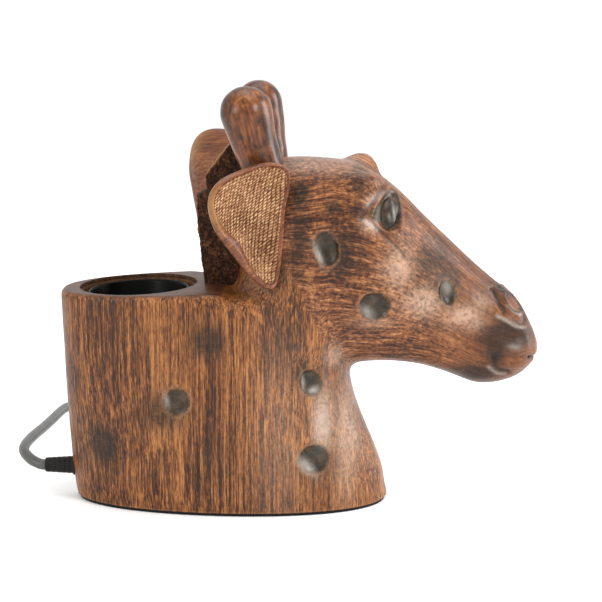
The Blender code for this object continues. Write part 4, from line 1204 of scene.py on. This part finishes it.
def mane(surface):
    """The mane's slab, with the cut rows and rough fibre of its faces."""
    rings = []
    for shift in (-MANE_HALF_WIDTH, MANE_HALF_WIDTH):
        rings.append([(x, shift, z) for x, z in MANE_OUTLINE])
    mesh = remeshed("mane", rings_mesh("mane", rings), 0.9)
    places, edges, normals = places_of(mesh), edges_of(mesh), normals_of(mesh)
    places = relaxed(places, edges, 2)
    x, y, z = places.T
    weft = np.sin(math.tau * (z + 0.25 * x + 2.6 * grainy(places, 8.0, 1.0)) / 2.3)
    strand = grainy(places * np.array([1.0, 1.0, 0.35]), 1.5, 4.0)
    rough = grainy(places, 1.3, 8.0) + 0.6 * grainy(places, 4.5, 6.0)
    height = 0.12 * weft + 0.38 * strand + 0.34 * rough
    ragged = grainy(places * np.array([0.2, 0.2, 1.0]), 3.4, 2.0) * (x < -12)
    places = places + normals * (height + 0.55 * ragged - 0.1)[:, None]
    put_places(mesh, places)
    # Painted highlight: the thread value is made paler along the slab's top edge
    edge = near_line(x, z, MANE_OUTLINE[6:8], 0.9)
    store(mesh, "thread", np.clip(0.45 + 0.7 * height, 0, 1) + 0.6 * edge)
    return piece("mane_slab", mesh, surface, "mane", angle=180.0)


# ---- the lamp cup


def lamp_cup(surface):
    """The black cup, with a rolled rim and a rounded foot."""
    inner, outer = CUP_RADIUS - 1.2, CUP_RADIUS
    profile = [
        (5.4, CUP_BOTTOM),
        (outer - 2.4, CUP_BOTTOM),
        (outer - 0.7, CUP_BOTTOM + 0.6),
        (outer, CUP_BOTTOM + 2.2),
        (outer, CUP_TOP - 2.2),
    ]
    for step in range(13):
        turn = math.radians(-70 + step * 220 / 12)
        profile.append((outer + 0.02 + 0.75 * math.cos(turn), CUP_TOP - 0.76 + 0.76 * math.sin(turn)))
    profile += [
        (inner, CUP_TOP - 1.6),
        (inner, CUP_BOTTOM + 4.0),
        (inner - 0.8, CUP_BOTTOM + 2.0),
        (inner - 2.4, CUP_BOTTOM + 1.5),
        (5.4, CUP_BOTTOM + 1.5),
    ]
    mesh = lifted(turned_mesh("cup_liner", profile, at(*BORE, 0), 120))
    return piece("cup_liner", mesh, surface, "lamp_cup", angle=45.0)


# ---- the scene


def aimed(name, data, place, aim):
    """A camera or a lamp that looks from a place at another."""
    made = loose_object(name, data)
    made.location = place
    made.rotation_mode = "QUATERNION"
    made.rotation_quaternion = (Vector(aim) - Vector(place)).to_track_quat("-Z", "Y")
    return made


def camera():
    data = bpy.data.cameras.new("camera")
    data.lens = 96.5
    data.sensor_width = 36.0
    made = aimed("camera", data, (0.0425, -0.981, 0.319), (0.0425, 0.0, 0.1249))
    bpy.context.scene.camera = made


def area_light(name, place, aim, size, power):
    data = bpy.data.lights.new(name, "AREA")
    data.shape = "RECTANGLE"
    data.size, data.size_y = size
    data.energy = power
    aimed(name, data, place, aim)


def studio():
    """Soft light from above and both sides, over a pale floor. These lengths are in metres."""
    area_light("overhead", (0.1, 0.1, 1.5), (0.0, 0.0, 0.1), (1.4, 0.9), 8.5)
    area_light("front_right", (1.0, -0.9, 0.8), (0.05, 0.0, 0.12), (0.5, 0.6), 11.0)
    area_light("far_right", (1.2, 0.15, 0.5), (0.05, 0.0, 0.1), (0.4, 0.9), 11.0)
    area_light("front_left", (-1.0, -0.9, 0.6), (0.0, 0.0, 0.1), (0.6, 0.7), 6.0)
    world = bpy.data.worlds.new("studio")
    world.use_nodes = True
    back = world.node_tree.nodes["Background"]
    back.inputs["Color"].default_value = (1.0, 1.0, 1.0, 1.0)
    back.inputs["Strength"].default_value = 1.05
    bpy.context.scene.world = world
    bpy.context.scene.view_settings.view_transform = "Standard"
    built = bmesh.new()
    bmesh.ops.create_grid(built, x_segments=8, y_segments=8, size=6.0)
    floor = loose_object("floor", as_mesh("floor", built))
    s = Surface("pale_floor")
    tint = s.ramp(s.noise(s.place, 3.0), (0.3, (0.955, 0.955, 0.955)), (0.7, (0.975, 0.975, 0.975)))
    floor.data.materials.append(s.finish(tint, 0.7))


def repainted(surfaces):
    """Gives the CAD nodes that stay their own detailed materials."""
    for entry in frame["record"]["subparts"]:
        node = frame["nodes"][entry["node"]]
        for material_slot in node.material_slots:
            material_slot.link = "DATA"
            material_slot.material = surfaces[entry["material_slot"]]


def main():
    camera()
    surfaces = all_surfaces()
    cord = lead(surfaces["grey_pvc"])
    strain_relief(surfaces["black_rubber"])
    tie = coil_tie(surfaces["black_rubber"])
    carving(surfaces["carved_wood"])
    rim = ear_wood()
    for side in ("right", "left"):
        ear_shell(side, rim)
        ear_lining(side, surfaces["ear_hessian"])
        ossicone(side, surfaces["ossicone_wood"])
    mane(surfaces["mane_fibre"])
    lamp_cup(surfaces["black_steel"])
    repainted(surfaces)
    studio()


main()
